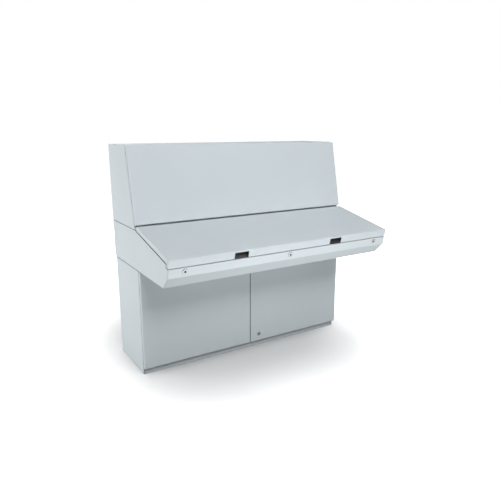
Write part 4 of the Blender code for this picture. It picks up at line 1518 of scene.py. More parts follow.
@dataclass(frozen=True)
class QuarterTurnLock:
    """A quarter-turn lock: chromed housing, black key insert, and a core that carries the cam."""

    name: str
    datum: Datum
    housing_body: str
    flange_radius: float = 0.0140
    flange: float = 0.0045
    flange_round: float = 0.0032
    mouth: tuple[Pair, ...] = ((0.0022, 0.0), (0.0012, 0.0005), (0.0, 0.0016))
    barrel_radius: float = 0.0100
    barrel: float = 0.024
    barrel_chamfer: float = 0.0008
    core_radius: float = 0.0062
    core_foot: float = 0.0005
    run: float = 0.0004
    fit: float = 0.0001
    key_face: float = 0.0038
    key_chamfer: float = 0.0003
    key_radius: float = 0.0044
    key_floor: float = 0.0012
    key_pin: float = 0.0016
    key_pin_drop: float = 0.0004
    slot_ends: Pair = (-0.0004, 0.0011)
    slot_half: float = 0.0008
    slot_past: float = 0.001
    insert: float = 0.0070
    cam_thick: float = 0.003
    cam_width: float = 0.010
    cam_length: float = 0.055
    hub_radius: float = 0.0072
    hub_flank: float = math.radians(120.0)
    screw_flats: float = 0.008
    screw_head: float = 0.0035
    screw_root: float = 0.0004
    nut_flats: float = 0.0255
    nut_height: float = 0.0045
    nut_chamfer: float = 0.0012

    def seat(self) -> Matrix:
        """The lock's place on its sheet, with z out of it, in datum axes.

        Returns:
            The matrix that sets the lock in place.
        """
        low, high = self.datum.extent(f"{self.name}_housing")
        middle = (low + high) / 2.0
        return Matrix.Translation((middle.x, low.y + self.flange, middle.z)) @ OUTWARD

    def hole(self) -> Shape:
        """The clearance hole for the barrel, as a tool in the console's own axes."""
        tool = Shape.cylinder(self.barrel_radius + self.run, -PAST, PAST)
        return tool.place(self.datum.matrix @ self.seat())

    def build(self) -> None:
        """Make the housing with its nut, the key insert and the core with its cam."""
        at = self.seat()
        centre = at.translation
        self.housing().place(at).piece(
            f"{self.name}_escutcheon", CHROME, self.housing_body, f"{self.name}_housing",
            datum=self.datum, ease=0.0,
        )
        low, high = self.datum.extent(f"{self.name}_core")
        arms = {(1.0, 0.0): high.x - centre.x, (-1.0, 0.0): centre.x - low.x,
                (0.0, 1.0): high.z - centre.z, (0.0, -1.0): centre.z - low.z}
        way = max(arms, key=lambda key: arms[key])
        self.core(centre.y - high.y, way).place(at).piece(
            f"{self.name}_cam", ZINC, self.name, f"{self.name}_core", datum=self.datum
        )
        self.key_insert().place(at).piece(
            f"{self.name}_key_insert", KEY_BLACK, self.name, datum=self.datum, ease=0.0
        )

    def housing(self) -> Shape:
        """The turned housing and the nut behind the sheet.

        Returns:
            Both about the lock's axis.
        """
        bore, barrel, edge = self.core_radius + self.run, self.barrel_radius, self.flange_radius
        chamfer, bend, face = self.barrel_chamfer, self.flange_round, self.flange
        profile = [(bore, -self.barrel), (barrel - chamfer, -self.barrel),
                   (barrel, chamfer - self.barrel), (barrel, SEAT), (edge, SEAT)]
        profile += arc((edge - bend, face - bend), bend, 0.0, QUARTER, 6)
        profile += [(bore + out, face - below) for out, below in self.mouth]
        top = -SHEET - SEAT
        low, crown = top - self.nut_height, self.nut_flats / math.sqrt(3.0)
        wide = crown * 1.02
        chamfered = [(0.0, low), (crown * 0.90, low), (wide, low + self.nut_chamfer),
                     (wide, top), (0.0, top)]
        nut = Shape.hexagon(self.nut_flats, low, top).within(Shape.turned(chamfered, 36))
        nut.drill(Shape.cylinder(barrel + self.fit, -2.0 * PAST, 0.0))
        return Shape.turned(profile).add(nut)

    def key_insert(self) -> Shape:
        """The dark insert that the key turns, with its pin and two bit slots.

        Returns:
            The insert about the lock's axis.
        """
        back, face, edge = self.key_face - self.insert, self.key_face, self.core_radius - self.fit
        floor, top, pin = back + self.key_floor, face - self.key_pin_drop, self.key_pin
        profile = [(0.0, back), (edge, back), (edge, face - self.key_chamfer),
                   (edge - self.key_chamfer, face), (self.key_radius, face),
                   (self.key_radius, floor), (pin, floor), (pin, top - self.key_pin_drop),
                   (pin * 0.7, top), (0.0, top)]
        made = Shape.turned(profile)
        for side in (-1.0, 1.0):
            ends = sorted(side * (self.key_radius + end) for end in self.slot_ends)
            low = (ends[0], -self.slot_half, floor)
            made.drill(Shape.block(low, (ends[1], self.slot_half, face + self.slot_past)))
        return made

    def core(self, back: float, way: Pair) -> Shape:
        """The core behind the insert, its cam and the cam's screw.

        Args:
            back: height of the cam's rear face, below the lock's own face.
            way: where the cam points at rest.

        Returns:
            The core about the lock's axis.
        """
        top = self.key_face - self.insert - self.fit
        made = Shape.cylinder(self.core_radius, back + self.core_foot, top)
        half = self.cam_width / 2.0
        outline = arc((0.0, 0.0), self.hub_radius, self.hub_flank, math.tau - self.hub_flank, 20)
        outline += arc((self.cam_length - half, 0.0), half, -QUARTER, QUARTER, 12)
        cam = Shape.plate(outline, Axis.Z, back, back + self.cam_thick)
        made.weld(cam.place(Matrix.Rotation(math.atan2(way[1], way[0]), 4, "Z")))
        root = back + self.screw_root
        return made.weld(Shape.hexagon(self.screw_flats, back - self.screw_head, root))


@dataclass(frozen=True)
class BaseDoors:
    """Both doors with their gaskets, hinges, the right door's locks and the left door's bolts."""

    door_return: float = 0.021
    bolt_round: float = 0.0013
    guide_half: float = 0.018
    guide_from_tip: float = 0.024
    guide_slot: float = 0.0073
    guide_wall: float = 0.002
    guide_fold: float = 0.0028
    guide_foot: float = 0.012
    guide_seat: float = 0.00005
    knob_radius: float = 0.005
    knob: float = 0.014
    knob_root: float = 0.002
    knob_waist: tuple[Pair, ...] = ((0.62, 0.003), (0.78, 0.005), (1.0, 0.007))
    knob_grooves: Pair = (0.009, 0.0115)
    knob_groove_half: float = 0.0005
    knob_crown: Pair = (0.94, 0.0132)
    knob_from_end: float = 0.010

    def build(self) -> None:
        """Make all pieces that swing with the doors."""
        locks = {
            level: QuarterTurnLock(f"door_{level.word}_lock", Datum.UPRIGHT, "right_door")
            for level in Level
        }
        for hand in Hand:
            body, node = f"{hand.word}_door", f"base_{hand.word}_door"
            low, high = Datum.UPRIGHT.extent(node)
            door = Shape.pan(low, (high.x, low.y + self.door_return, high.z)).fold().thicken()
            if hand is Hand.RIGHT:
                for lock in locks.values():
                    door.drill(lock.hole())
            door.piece(f"{body}_pan", PAINT, body, node)
            fit_gasket(Datum.UPRIGHT, f"{body}_seal", f"{body}_gasket", body)
            turn = Matrix.Rotation(0.0 if hand is Hand.LEFT else math.pi, 4, "Y")
            for level in Level:
                ConcealedHinge(f"{body}_{level.word}_hinge", Datum.UPRIGHT, turn, body).build()
        for level, lock in locks.items():
            lock.build()
            self.slide_bolt(level)

    def slide_bolt(self, level: Level) -> None:
        """A flat bolt with its turned knob, and the guide that it slides in.

        Args:
            level: the end of the left door that the bolt's tip points to.
        """
        name = f"left_door_{level.word}_bolt"
        low, high = Datum.UPRIGHT.extent(name)
        back = high.y - self.knob
        bolt = Shape.block(low, (high.x, back, high.z))
        tip, tail = (high.z, low.z) if level is Level.UPPER else (low.z, high.z)
        ends = [
            edge for edge in bolt.mesh.edges
            if all(abs(vert.co.z - tip) < WELD for vert in edge.verts)
        ]
        bolt.round_edges(ends, self.bolt_round, 3)
        centre = (low.x + high.x) / 2.0
        at = Matrix.Translation((centre, back, tail + level.value * self.knob_from_end)) @ INWARD
        bolt.weld(Shape.turned(self.knob_profile(), 36).place(at))
        bolt.piece(f"{name}_bar", ZINC, name, name)

        leg = self.guide_slot + self.guide_wall
        crown = back + SEAT + self.guide_wall
        foot = Datum.UPRIGHT.extent("base_left_door")[0].y + 2.0 * SHEET
        half_hat = [(leg + self.guide_foot, foot), (leg, foot), (leg, crown)]
        path = [(centre - x, y) for x, y in half_hat] + [(centre + x, y) for x, y in half_hat[::-1]]
        middle = tip - level.value * self.guide_from_tip
        guide = Shape.ribbon(
            path, Axis.Z, middle - self.guide_half, middle + self.guide_half, (0.0, 1.0, 0.0)
        )
        guide.fold(self.guide_fold, self.guide_wall).thicken(self.guide_wall - self.guide_seat)
        guide.piece(f"{name}_guide", PAINT, "left_door")

    def knob_profile(self) -> list[Pair]:
        """The knob's profile from its root to its crown, with a waist and grooves.

        Returns:
            (radius, height) points.
        """
        r, neck = self.knob_radius, self.knob_radius * self.knob_waist[0][0]
        profile = [(0.0, -self.knob_root), (neck, -self.knob_root)]
        profile += [(r * share, height) for share, height in self.knob_waist]
        for groove in self.knob_grooves:
            profile += [(r, groove - self.knob_groove_half), (r * 0.9, groove),
                        (r, groove + self.knob_groove_half)]
        share, height = self.knob_crown
        return profile + [(r * share, height), (r * 0.7, self.knob), (0.0, self.knob)]


@dataclass(frozen=True)
class DeskSection:
    """The desk's cheeks, front trough, rear deck, rim and fascia locks."""

    slope_start: Pair = (0.030, 0.950)
    fascia_top: float = -0.0225
    fascia_bottom: float = -0.076
    fascia_return: float = 0.034
    rim_drop: float = 0.002
    upstand: float = 0.018
    lid_corner: float = 0.022
    lip_gap: float = 0.006
    floor_z: float = 0.700
    deck_lip: float = 0.018
    stud_radius: float = 0.004
    stud_neck: float = 0.003
    stud_shoulder: Pair = (0.014, 0.012)
    stud_foot: Pair = (0.014, 0.003)
    stud_chamfer: float = 0.001
    clip: float = 0.0016
    clip_lip: float = 0.0026
    clip_chamfer: float = 0.0004
    way_x: Pair = (0.060, 0.680)
    way_y: Pair = (0.105, 0.385)
    way_corner: float = 0.012
    foot: float = 0.0065
    foot_start: float = 0.010

    @property
    def front(self) -> float:
        """How far along the slope the fascia's face lies from the slope's rear."""
        rear = Datum.FASCIA.matrix.inverted() @ Vector((0.0, *self.slope_start))
        return rear.y - Datum.FASCIA.extent("desk_front_and_floor")[0].y

    @property
    def locks(self) -> list[QuarterTurnLock]:
        """The fascia's locks from left to right."""
        return [QuarterTurnLock(f"lid_{lock.word}_lock", Datum.FASCIA, ROOT) for lock in LidLock]

    def point(self, along: float, above: float) -> Pair:
        """(y, z) of a point along the desk's slope from its rear and above the slope line."""
        at = Datum.FASCIA.matrix @ Vector((0.0, -along, above))
        return self.slope_start[0] + at.y, self.slope_start[1] + at.z

    def bevel(self) -> tuple[Pair, Pair]:
        """The fascia's lower fold, and the bevel's foot on the desk's floor."""
        fold = self.point(self.front, self.fascia_bottom)
        return fold, (fold[0] + fold[1] - self.floor_z, self.floor_z)

    def build(self) -> None:
        """Make every fixed piece of the desk."""
        for hand in Hand:
            self.cheek(hand)
            self.spring_stud(hand)
        self.trough()
        self.deck()
        self.rim()
        for lock in self.locks:
            lock.build()

    def cheek(self, hand: Hand) -> None:
        """A cheek cut to the desk's profile, its foot folded in under the desk.

        Args:
            hand: the side that it closes.
        """
        node = f"desk_{hand.word}_side"
        high = Datum.UPRIGHT.extent(node)[1]
        fold, toe = self.bevel()
        step = self.front - self.lid_corner - self.lip_gap
        outline = [(high.y, self.floor_z), (toe[0] + self.foot_start, self.floor_z), toe, fold,
                   self.point(self.front, self.fascia_top), self.point(step, self.fascia_top),
                   self.point(step, -self.rim_drop), self.point(0.0, -self.rim_drop),
                   (self.slope_start[0], high.z), (high.y, high.z)]
        cheek = Shape.face(outline, Axis.X, hand.value * CAD_BOX[1][0])
        corners = cheek.mesh.verts[:]
        inward = Vector((-hand.value * self.foot, 0.0, 0.0))
        cheek.turn_out([cheek.mesh.edges.get(corners[:2])], inward)
        cheek.face_out((hand.value, 0.0, 0.0), corners[3].co).fold().thicken()
        cheek.piece(f"desk_{hand.word}_cheek", PAINT, ROOT, node, ease=SEAM_EASE)

    def spring_stud(self, hand: Hand) -> None:
        """The stud on a cheek that the gas spring swings on, with its retaining clip.

        Args:
            hand: the cheek that it stands on.
        """
        x, y, z = joint_of(f"{hand.word}_gas_spring_swing")["pos_m"]
        face = CAD_BOX[1][0] - SHEET
        tip = abs(x) - GasSpring.eye_width / 2.0
        r, lip, end = self.stud_radius, self.stud_radius + self.clip_lip, tip - self.clip
        neck, (foot, base) = r + self.stud_neck, self.stud_foot
        profile = [(0.0, end), (lip - self.clip_chamfer, end), (lip, end + self.clip_chamfer),
                   (lip, tip - SEAT), (r, tip - SEAT), (r, face - self.stud_shoulder[0]),
                   (neck, face - self.stud_shoulder[1]), (neck, face - base),
                   (foot - self.stud_chamfer, face - base),
                   (foot, face - base + self.stud_chamfer), (foot, face), (0.0, face)]
        turn = Matrix.Rotation(hand.value * QUARTER, 4, "Y")
        stud = Shape.turned(profile).place(Matrix.Translation((0.0, y, z)) @ turn)
        stud.piece(f"{hand.word}_spring_stud", ZINC, ROOT, ease=0.0)

    def ways(self, height: float) -> Shape:
        """The pair of cable openings, as a tool to cut with.

        Args:
            height: the sheet that they go through.

        Returns:
            Both tools in one.
        """
        made = Shape()
        for hand in Hand:
            x = sorted(hand.value * end for end in self.way_x)
            way = Shape.sheet((x[0], -self.way_y[1]), (x[1], -self.way_y[0]), 0.0, self.way_corner)
            way.place(INWARD.inverted()).shift(0.0, 0.0, height - PAST)
            made.add(way.draw_out(Vector((0.0, 0.0, 2.0 * PAST))))
        return made

    def trough(self) -> None:
        """The front trough in one sheet: seal wall, shelf, fascia, bevel and floor."""
        node = "desk_front_and_floor"
        low, high = Datum.UPRIGHT.extent(node)
        wall = self.front - self.fascia_return
        fold, toe = self.bevel()
        path = [self.point(wall, -self.rim_drop - SHEET - SEAT), self.point(wall, self.fascia_top),
                self.point(self.front, self.fascia_top), fold, toe, (high.y, self.floor_z)]
        trough = Shape.ribbon(path, Axis.X, low.x, high.x, (0.0, -1.0, 0.0)).fold().thicken()
        trough.drill(self.ways(self.floor_z))
        inner = CAD_BOX[1][0] - self.foot - SEAT
        for hand in Hand:
            x = sorted((hand.value * (high.x + PAST), hand.value * inner))
            start = (x[0], toe[0] + self.foot_start - SEAT, self.floor_z - PAST)
            trough.drill(Shape.block(start, (x[1], high.y + PAST, self.floor_z + PAST)))
        for lock in self.locks:
            trough.drill(lock.hole())
        trough.piece("desk_front_trough", PAINT, ROOT, node)

    def deck(self) -> None:
        """The rear wall and the deck under the upper section."""
        node = "desk_rear_and_deck"
        low, high = Datum.UPRIGHT.extent(node)
        path = [(high.y, low.z), (high.y, high.z), (low.y, high.z), (low.y, high.z - self.deck_lip)]
        deck = Shape.ribbon(path, Axis.X, low.x, high.x, (0.0, 1.0, 0.0)).fold().thicken()
        deck.drill(self.ways(high.z)).piece("desk_rear_deck", PAINT, ROOT, node)

    def rim(self) -> None:
        """The frame that the lid closes on."""
        low, high = Datum.LID.extent("desk_rim")
        rim = Shape.rim(low, high, [Datum.LID.opening("lid_seal")], self.upstand)
        rim.piece("desk_lid_frame", PAINT, ROOT, "desk_rim", datum=Datum.LID)


@dataclass(frozen=True)
class DeskLid:
    """The lid with its deep front lip, gasket, grips, hinges, keepers and stay plates."""

    lid_return: float = 0.025
    corner: float = 0.022
    grip_height: float = 0.038
    grip_sill: float = 0.005
    grip_wall: float = 0.002
    grip_round: float = 0.003
    grip_ease: float = 0.0006
    keeper_foot: float = 0.018
    keeper_sheet: float = 0.003
    keeper_leg: float = 0.016
    keeper_ledge: float = 0.008
    stay_sheet: float = 0.003
    stay_fold: float = 0.0045
    stay_nut: float = 0.009
    pin_from_foot: float = 0.012
    pin_hole: float = 0.0041
    pin_radius: float = 0.0039
    pin_head: float = 0.0065
    pin_crown: float = 0.0024
    pin_crown_start: float = 0.0015
    clip: float = 0.0012
    clip_lip: float = 0.0022
    clip_run: float = 0.0004

    def build(self) -> None:
        """Make all pieces that lift with the lid."""
        low, high = Datum.LID.extent("desk_lid")
        lid = Shape.pan(low, high)
        lid.cut_away((low.x - PAST, low.y + self.lid_return, low.z + self.corner),
                     (high.x + PAST, high.y + PAST, high.z + PAST))
        for hand in Hand:
            start, end = Datum.LID.extent(f"lid_{hand.word}_grip")
            lid.cut_away((start.x - SEAT, high.y - self.grip_height, low.z - PAST),
                         (end.x + SEAT, high.y + PAST, low.z + PAST))
        lid.fold().thicken().piece("desk_lid_pan", PAINT, "lid", "desk_lid", datum=Datum.LID)
        fit_gasket(Datum.LID, "lid_seal", "desk_lid_gasket", "lid")
        for hand in Hand:
            ConcealedHinge(f"lid_{hand.word}_hinge", Datum.LID, ACROSS, "lid").build()
            self.grip(hand)
            self.stay_plate(hand)
        for lock in LidLock:
            self.keeper(lock)

    def grip(self, hand: Hand) -> None:
        """A moulded finger pull: deep under its top, its back sloping out to the sill.

        Args:
            hand: the side that it is on.
        """
        node = f"lid_{hand.word}_grip"
        low, high = Datum.FASCIA.extent(node)
        rise = self.grip_height / 2.0
        outline = [(low.y, low.z), (low.y + self.grip_sill, low.z), (high.y, low.z + rise),
                   (high.y, high.z), (low.y, high.z)]
        grip = Shape.plate(outline, Axis.X, low.x, high.x)
        wall = self.grip_wall
        slope = rise / (high.y - low.y - self.grip_sill)
        back = high.y - wall
        sill = low.z + wall * math.hypot(1.0, slope) - self.grip_sill * slope
        pocket = [(low.y - wall, sill - wall * slope), (back, sill + (back - low.y) * slope),
                  (back, high.z - wall), (low.y - wall, high.z - wall)]
        tool = Shape.plate(pocket, Axis.X, low.x + wall, high.x - wall)
        deep = [edge for edge in tool.mesh.edges
                if min(vert.co.y for vert in edge.verts) > low.y + wall
                or abs(edge.verts[0].co.y - edge.verts[1].co.y) > wall]
        grip.drill(tool.round_edges(deep, self.grip_round, 4))
        grip.piece(
            f"{node}_pull", PLASTIC, "lid", node, datum=Datum.FASCIA, ease=self.grip_ease
        )

    def keeper(self, lock: LidLock) -> None:
        """A hook that hangs from the lid and reaches under the turned cam of a fascia lock.

        Args:
            lock: the lock that it belongs to.
        """
        node = f"lid_{lock.word}_keeper"
        low, high = Datum.FASCIA.extent(node)
        lock_low, lock_high = Datum.FASCIA.extent(f"lid_{lock.word}_lock_housing")
        side = 1.0 if low.x + high.x > lock_low.x + lock_high.x else -1.0
        leg, toe = (high.x, low.x) if side > 0.0 else (low.x, high.x)
        inner, ledge = leg - side * self.keeper_leg, low.z + self.keeper_ledge
        outline = [(inner, high.z), (inner, ledge), (toe, ledge), (toe, low.z), (leg, low.z),
                   (leg, high.z)]
        hook = Shape.plate(outline, Axis.Y, low.y, high.y)
        ends, under = sorted((inner, leg)), high.z - self.keeper_sheet
        back = high.y + self.keeper_foot
        hook.weld(Shape.block((ends[0], low.y, under), (ends[1], back, high.z)))
        nut = FASTENERS.nut().place(OVER)
        hook.add(nut.shift((inner + leg) / 2.0, high.y + self.keeper_foot * 0.55, under))
        hook.piece(f"{node}_hook", ZINC, "lid", node, datum=Datum.FASCIA)

    def stay_plate(self, hand: Hand) -> None:
        """The angle that the gas spring's rod pushes on, with its pin and nuts.

        Args:
            hand: the side that it is on.
        """
        node = f"{hand.word}_stay_plate"
        low, high = Datum.FASCIA.extent(node)
        outer, inner = (low.x, high.x) if hand is Hand.LEFT else (high.x, low.x)
        path = [(outer, low.z), (outer, high.z), (inner, high.z)]
        plate = Shape.ribbon(path, Axis.Y, low.y, high.y, (hand.value, 0.0, 0.0))
        plate.fold(self.stay_fold, self.stay_sheet).thicken(self.stay_sheet)
        centre = Vector((outer, (low.y + high.y) / 2.0, low.z + self.pin_from_foot))
        hole = Shape.cylinder(self.pin_hole, -PAST, PAST, 32)
        plate.drill(hole.place(Matrix.Translation(centre) @ ACROSS))
        for y in (low.y + self.stay_nut, high.y - self.stay_nut):
            nut = FASTENERS.nut().place(OVER)
            plate.add(nut.shift(inner + hand.value * self.stay_nut, y, high.z - self.stay_sheet))
        plate.piece(f"{node}_angle", ZINC, "lid", node, datum=Datum.FASCIA)
        self.stay_pin(hand, centre)

    def stay_pin(self, hand: Hand, centre: Vector) -> None:
        """The headed pin through a stay plate and the rod's eye, with its retaining clip.

        Args:
            hand: the side that it is on.
            centre: the pin's place on the plate's outer face.
        """
        rod = Datum.FASCIA.extent(f"{hand.word}_gas_spring_rod")
        axis = min(abs(corner.x) for corner in rod) + GasSpring.rod_radius
        tip = axis - GasSpring.eye_width / 2.0 - self.clip_run - self.clip
        r, lip, seat = self.pin_radius, self.pin_radius + self.clip_lip, abs(centre.x)
        head, crown = self.pin_head, seat + self.pin_crown
        profile = [(0.0, tip), (lip, tip), (lip, tip + self.clip), (r, tip + self.clip), (r, seat),
                   (head, seat), (head, seat + self.pin_crown_start), (head * 0.8, crown),
                   (0.0, crown)]
        turn = Matrix.Rotation(hand.value * QUARTER, 4, "Y")
        pin = Shape.turned(profile).place(Matrix.Translation((0.0, centre.y, centre.z)) @ turn)
        pin.piece(f"{hand.word}_stay_pin", ZINC, "lid", datum=Datum.FASCIA, ease=0.0)


@dataclass(frozen=True)
class GasSpring:
    """A gas spring: black tube on the cheek's stud and a polished rod to the lid."""

    hand: Hand
    tube_radius: float = 0.009
    tube: float = 0.185
    tube_start: float = 0.017
    bore: float = 0.100
    tail_radius: float = 0.0046
    tail: Pair = (0.002, 0.0155)
    shoulder: Pair = (0.0062, 0.0165)
    shoulder_round: float = 0.0025
    crimp: float = 0.0125
    crimp_half: Pair = (0.0015, 0.0007)
    crimp_depth: float = 0.0007
    mouth_round: float = 0.0022
    mouth_chamfer: float = 0.0012
    rod_radius: float = 0.004
    fitting: float = 0.012
    fitting_wall: float = 0.0018
    fitting_chamfer: float = 0.0015
    fitting_lap: float = 0.003
    eye: float = 0.010
    eye_width: float = 0.010
    tip: float = 0.008
    pin: float = 0.0043

    def build(self) -> None:
        """Make the tube and the rod."""
        word = self.hand.word
        tube, rod = f"{word}_gas_spring_tube", f"{word}_gas_spring_rod"
        anchor = Vector(joint_of(f"{word}_gas_spring_swing")["pos_m"])
        way = Vector(joint_of(f"{word}_gas_spring_stroke")["axis"])
        reach = max((v.co - anchor).dot(way) for v in frame["nodes"][rod].data.vertices)
        at = Matrix.Translation(anchor) @ Matrix.Rotation(math.atan2(-way.y, way.z), 4, "X")
        self.cylinder().place(at).piece(f"{word}_spring_cylinder", ENAMEL, tube, tube)
        piston = self.piston(reach - self.tip).place(at)
        piston.piece(f"{word}_spring_piston", HARD_CHROME, rod, rod)

    def eye_ring(self, radius: float) -> Shape:
        """A solid eye across the spring's axis."""
        half = self.eye_width / 2.0
        return Shape.cylinder(radius, -half, half, 36).place(ACROSS)

    def eye_hole(self) -> Shape:
        """The pin's hole through an eye."""
        return Shape.cylinder(self.pin, -self.eye_width, self.eye_width, 32).place(ACROSS)

    def cylinder(self) -> Shape:
        """The tube with its rolled mouth, crimped tail and eye.

        Returns:
            The tube about the spring's axis.
        """
        r, length, bore = self.tube_radius, self.tube, self.rod_radius + SEAT
        bend, lip, inset = self.shoulder_round, self.mouth_round, self.mouth_chamfer
        groove, (wide, narrow) = length - self.crimp, self.crimp_half
        waist, mouth = r - self.crimp_depth, length - self.bore
        profile = [(0.0, self.tail[0]), (self.tail_radius, self.tail[0]),
                   (self.tail_radius, self.tail[1]), self.shoulder]
        profile += arc((r - bend, self.tube_start + bend), bend, -QUARTER, 0.0, 5)
        profile += [(r, groove - wide), (waist, groove - narrow), (waist, groove + narrow),
                    (r, groove + wide)]
        profile += arc((r - lip, length - lip), lip, 0.0, QUARTER, 5)
        profile += [(bore + inset, length), (bore, length - inset), (bore, mouth), (0.0, mouth)]
        return Shape.turned(profile).weld(self.eye_ring(self.eye)).drill(self.eye_hole())

    def piston(self, length: float) -> Shape:
        """The rod with its end fitting.

        Args:
            length: from the tube's pin to the rod's.

        Returns:
            The rod about the spring's axis.
        """
        r, wide = self.rod_radius, self.rod_radius + self.fitting_wall
        start, neck = self.tube - self.bore + SEAT, length - self.tip
        foot, end = neck - self.fitting, neck + self.fitting_lap
        profile = [(0.0, start), (r, start), (r, foot), (wide, foot + self.fitting_chamfer),
                   (wide, end), (0.0, end)]
        eye = self.eye_ring(self.tip).shift(0.0, 0.0, length)
        hole = self.eye_hole().shift(0.0, 0.0, length)
        return Shape.turned(profile).weld(eye).drill(hole)


@dataclass(frozen=True)
class UpperSection:
    """The upper cheeks, top, rear skin, front frame, and the fixed instrument panel."""

    lean: float = math.radians(Datum.PANEL.value)
    joint: float = 0.0015
    flange: float = 0.020
    side_flange: float = 0.040
    upstand: float = 0.012
    panel_return: float = 0.021
    stud_inset: float = 0.022
    stud_from_end: float = 0.025
    stud_radius: float = 0.003
    stud_foot: float = 0.0054
    stud_fillet: Pair = (0.0012, 0.002)
    stud_run: float = 0.0005

    def build(self) -> None:
        """Make every piece of the upper section."""
        for hand in Hand:
            node, piece = f"upper_{hand.word}_side", f"upper_{hand.word}_cheek"
            SideWall(node, hand, piece, foot=self.joint).build(self.lean)
        self.top()
        RearSkin("upper_rear_panel", "upper_rear_skin", rows=4, top_row=True).build()
        self.panel()

    def top(self) -> None:
        """The top sheet, its front and rear flanges cut back at the ends."""
        low, high = Datum.UPRIGHT.extent("upper_top")
        front = low.y + self.flange * math.tan(self.lean)
        path = [(high.y, low.z), (high.y, high.z), (front, high.z), (low.y, low.z)]
        top = Shape.ribbon(path, Axis.X, low.x, high.x, (0.0, 1.0, 0.0)).fold().thicken()
        for hand in Hand:
            x = sorted((hand.value * (high.x - self.side_flange), hand.value * (high.x + PAST)))
            for y in ((low.y - PAST, front + FOLD), (high.y - FOLD - SEAT, high.y + PAST)):
                top.drill(Shape.block((x[0], y[0], low.z - PAST), (x[1], y[1], high.z + PAST)))
        top.piece("upper_top_sheet", PAINT, ROOT, "upper_top")

    def panel(self) -> None:
        """The front frame, the instrument panel on its studs, and the gasket between them."""
        datum = Datum.PANEL
        low, high = datum.extent("upper_front_panel")
        rim_low, rim_high = datum.extent("upper_rim")
        front = low.y + SHEET
        places = [
            (x, z)
            for x in (low.x + self.stud_inset, high.x - self.stud_inset)
            for z in (low.z + self.stud_from_end, high.z - self.stud_from_end)
        ]
        at_panel = [Axis.Y.lift(place, front) for place in places]
        at_rim = [Axis.Y.lift(place, rim_high.y) for place in places]
        rim = Shape.rim(rim_low, rim_high, [datum.opening("upper_seal")], self.upstand)
        hole = Shape.cylinder(self.stud_radius + self.stud_run, -PAST, PAST, 24)
        rim.drill(Fasteners.set_out(hole, at_rim, INWARD))
        rim.piece("upper_front_frame", PAINT, ROOT, "upper_rim", datum=datum)

        panel = Shape.pan(low, (high.x, low.y + self.panel_return, high.z)).fold().thicken()
        panel.piece("instrument_panel", PAINT, ROOT, "upper_front_panel", datum=datum)
        r, foot, length = self.stud_radius, self.stud_foot, rim_high.y - front + SHEET
        profile = [(0.0, 0.0), (foot, 0.0), (foot, self.stud_fillet[0]), (r, self.stud_fillet[1]),
                   (r, length), (0.0, length)]
        studs = Fasteners.set_out(Shape.turned(profile, 24), at_panel, INWARD)
        studs.add(Fasteners.set_out(FASTENERS.nut(), at_rim, INWARD))
        studs.piece("instrument_panel_studs", ZINC, ROOT, datum=datum, ease=0.0)
        fit_gasket(datum, "upper_seal", "instrument_panel_gasket", ROOT)


@dataclass(frozen=True)
class Softbox:
    """A large soft lamp aimed at the console."""

    name: str
    place: Place
    size: Pair
    power: float
    aim: Place = (0.0, 0.0, 0.8)

    def hang(self) -> None:
        """Hang the lamp and aim it; it lights without showing itself."""
        lamp = bpy.data.lights.new(self.name, "AREA")
        lamp.shape = "RECTANGLE"
        lamp.size, lamp.size_y = self.size
        lamp.energy = self.power
        made = bpy.data.objects.new(self.name, lamp)
        made.location = self.place
        made.rotation_euler = (Vector(self.aim) - made.location).to_track_quat("-Z", "Y").to_euler()
        made.visible_camera = False
        bpy.context.scene.collection.objects.link(made)


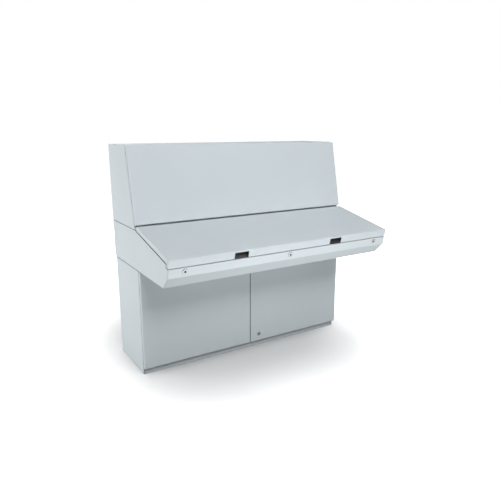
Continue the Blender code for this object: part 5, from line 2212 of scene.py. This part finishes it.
@dataclass(frozen=True)
class Studio:
    """The white floor, soft light and camera."""

    lens: float = 35.35
    sensor: float = 36.0
    eye: Place = (-1.7369, -2.7927, 1.5405)
    pitch: float = 76.205
    heading: float = -31.798
    sky: float = 0.035
    sheen: float = 0.4
    floor_size: float = 60.0
    floor_shown: float = 0.97
    floor_bounce: float = 0.15
    # reach and strength of the floor's painted shadow from ambient occlusion
    floor_reach: float = 1.2
    floor_shade: float = 0.5
    # distances from the footprint over which the floor's painted glow rises to full
    floor_clear: Pair = (0.2, 1.4)
    foot_middle: Place = (-0.05, 0.2525, 0.0)
    foot_half: Place = (0.25, 0.2225, 0.0)
    softboxes: tuple[Softbox, ...] = (
        Softbox("front softbox", (0.0, -3.4, 3.9), (4.0, 2.4), 122.0),
        Softbox("far softbox", (-0.5, -6.5, 7.0), (5.0, 4.0), 230.0),
        Softbox("low softbox", (0.3, -4.0, 0.55), (4.0, 0.9), 12.0),
        Softbox("left softbox", (-7.0, 2.0, 2.8), (5.0, 3.0), 80.0),
        Softbox("low left softbox", (-7.0, 2.0, 1.3), (5.0, 2.0), 298.0),
        Softbox("right softbox", (5.5, -6.0, 3.0), (5.0, 4.0), 45.0),
        Softbox("right fill", (7.0, 2.0, 1.7), (4.0, 2.4), 150.0),
        Softbox("rear softbox", (0.0, 3.2, 3.6), (4.0, 2.0), 50.0),
        Softbox("back softbox", (0.0, 5.0, 1.4), (1.5, 2.4), 66.0),
        Softbox("floor fill", (-0.05, -1.05, 0.02), (2.2, 0.7), 12.6, (-0.05, -1.05, 1.0)),
    )

    def build(self) -> None:
        """Set the stage, the light and the camera."""
        self.floor()
        self.surround()
        for softbox in self.softboxes:
            softbox.hang()
        camera = bpy.data.cameras.new("camera")
        camera.lens, camera.sensor_width = self.lens, self.sensor
        made = bpy.data.objects.new("camera", camera)
        made.location = self.eye
        made.rotation_euler = (math.radians(self.pitch), 0.0, math.radians(self.heading))
        bpy.context.scene.collection.objects.link(made)
        bpy.context.scene.camera = made
        bpy.context.scene.view_settings.view_transform = "Standard"

    @staticmethod
    def rays(sheet: NodeSheet, *kinds: str) -> Socket:
        """Tell some kinds of rays from the others.

        Args:
            sheet: the material's or the world's nodes.
            kinds: the kinds that count.

        Returns:
            One for those rays, none for the others.
        """
        path = sheet.node("LightPath")
        total = path.outputs[f"Is {kinds[0]} Ray"]
        for kind in kinds[1:]:
            total = sheet.combine("ADD", total, path.outputs[f"Is {kind} Ray"], clamp=True)
        return total

    def floor(self) -> None:
        """A wide pale floor that keeps the console's shadow."""
        ground = Shape()
        bmesh.ops.create_grid(ground.mesh, x_segments=1, y_segments=1, size=self.floor_size)
        mesh = bpy.data.meshes.new("floor")
        ground.mesh.to_mesh(mesh)
        ground.mesh.free()
        mesh.materials.append(self.floor_finish())
        made = bpy.data.objects.new("floor", mesh)
        bpy.context.scene.collection.objects.link(made)

    def floor_finish(self) -> bpy.types.Material:
        """Pale paper that keeps the console's shadow, with painted shadow from ambient occlusion
        near the console and a painted glow that clears it to white away from it.

        Returns:
            The floor's material.
        """
        material = bpy.data.materials.new("studio_floor")
        sheet = NodeSheet(material)
        seen = self.rays(sheet, "Camera", "Glossy", "Transmission")
        tone = sheet.span(seen, self.floor_bounce, self.floor_shown, (0.0, 1.0))
        # painted shadow: ambient occlusion darkens the floor's colour near the console
        near = sheet.node("AmbientOcclusion", {"Distance": self.floor_reach}, samples=12)
        # painted light: distance from the console's footprint, which sets how strongly the floor
        # glows
        away = sheet.where
        steps = (("SUBTRACT", self.foot_middle), ("ABSOLUTE", None), ("SUBTRACT", self.foot_half),
                 ("MAXIMUM", (0.0, 0.0, 0.0)), ("LENGTH", None))
        for operation, value in steps:
            inputs = {0: away} if value is None else {0: away, 1: value}
            node = sheet.node("VectorMath", inputs, operation=operation)
            away = node.outputs["Value" if operation == "LENGTH" else "Vector"]
        clear = sheet.span(away, 0.0, 1.0, self.floor_clear, "SMOOTHSTEP")
        sheet.set(
            Base_Color=sheet.blend(self.floor_shade, tone, near.outputs["Color"], "MULTIPLY"),
            Roughness=1.0,
            Specular_IOR_Level=0.0,
            # painted light: the floor glows for camera, glossy and transmission rays, more the
            # farther it lies from the console
            Emission_Color=WHITE,
            Emission_Strength=sheet.combine("MULTIPLY", clear, seen),
        )
        return material

    def surround(self) -> None:
        """A white background that lights the console more softly than it shows."""
        world = bpy.data.worlds.new("studio")
        bpy.context.scene.world = world
        sheet = NodeSheet(world, "Background")
        soft = sheet.span(self.rays(sheet, "Glossy"), self.sky, self.sheen, (0.0, 1.0))
        shown = self.rays(sheet, "Camera", "Transmission")
        sheet.set(Color=WHITE, Strength=sheet.combine("MAXIMUM", soft, shown))


def main() -> None:
    """Build the console's sub-assemblies in order, then the studio."""
    logging.basicConfig(level=logging.INFO, format="%(message)s")
    BaseCabinet().build()
    BaseDoors().build()
    DeskSection().build()
    DeskLid().build()
    for hand in Hand:
        GasSpring(hand).build()
    UpperSection().build()
    Studio().build()
    bpy.context.view_layer.update()


if __name__ == "__main__":
    main()
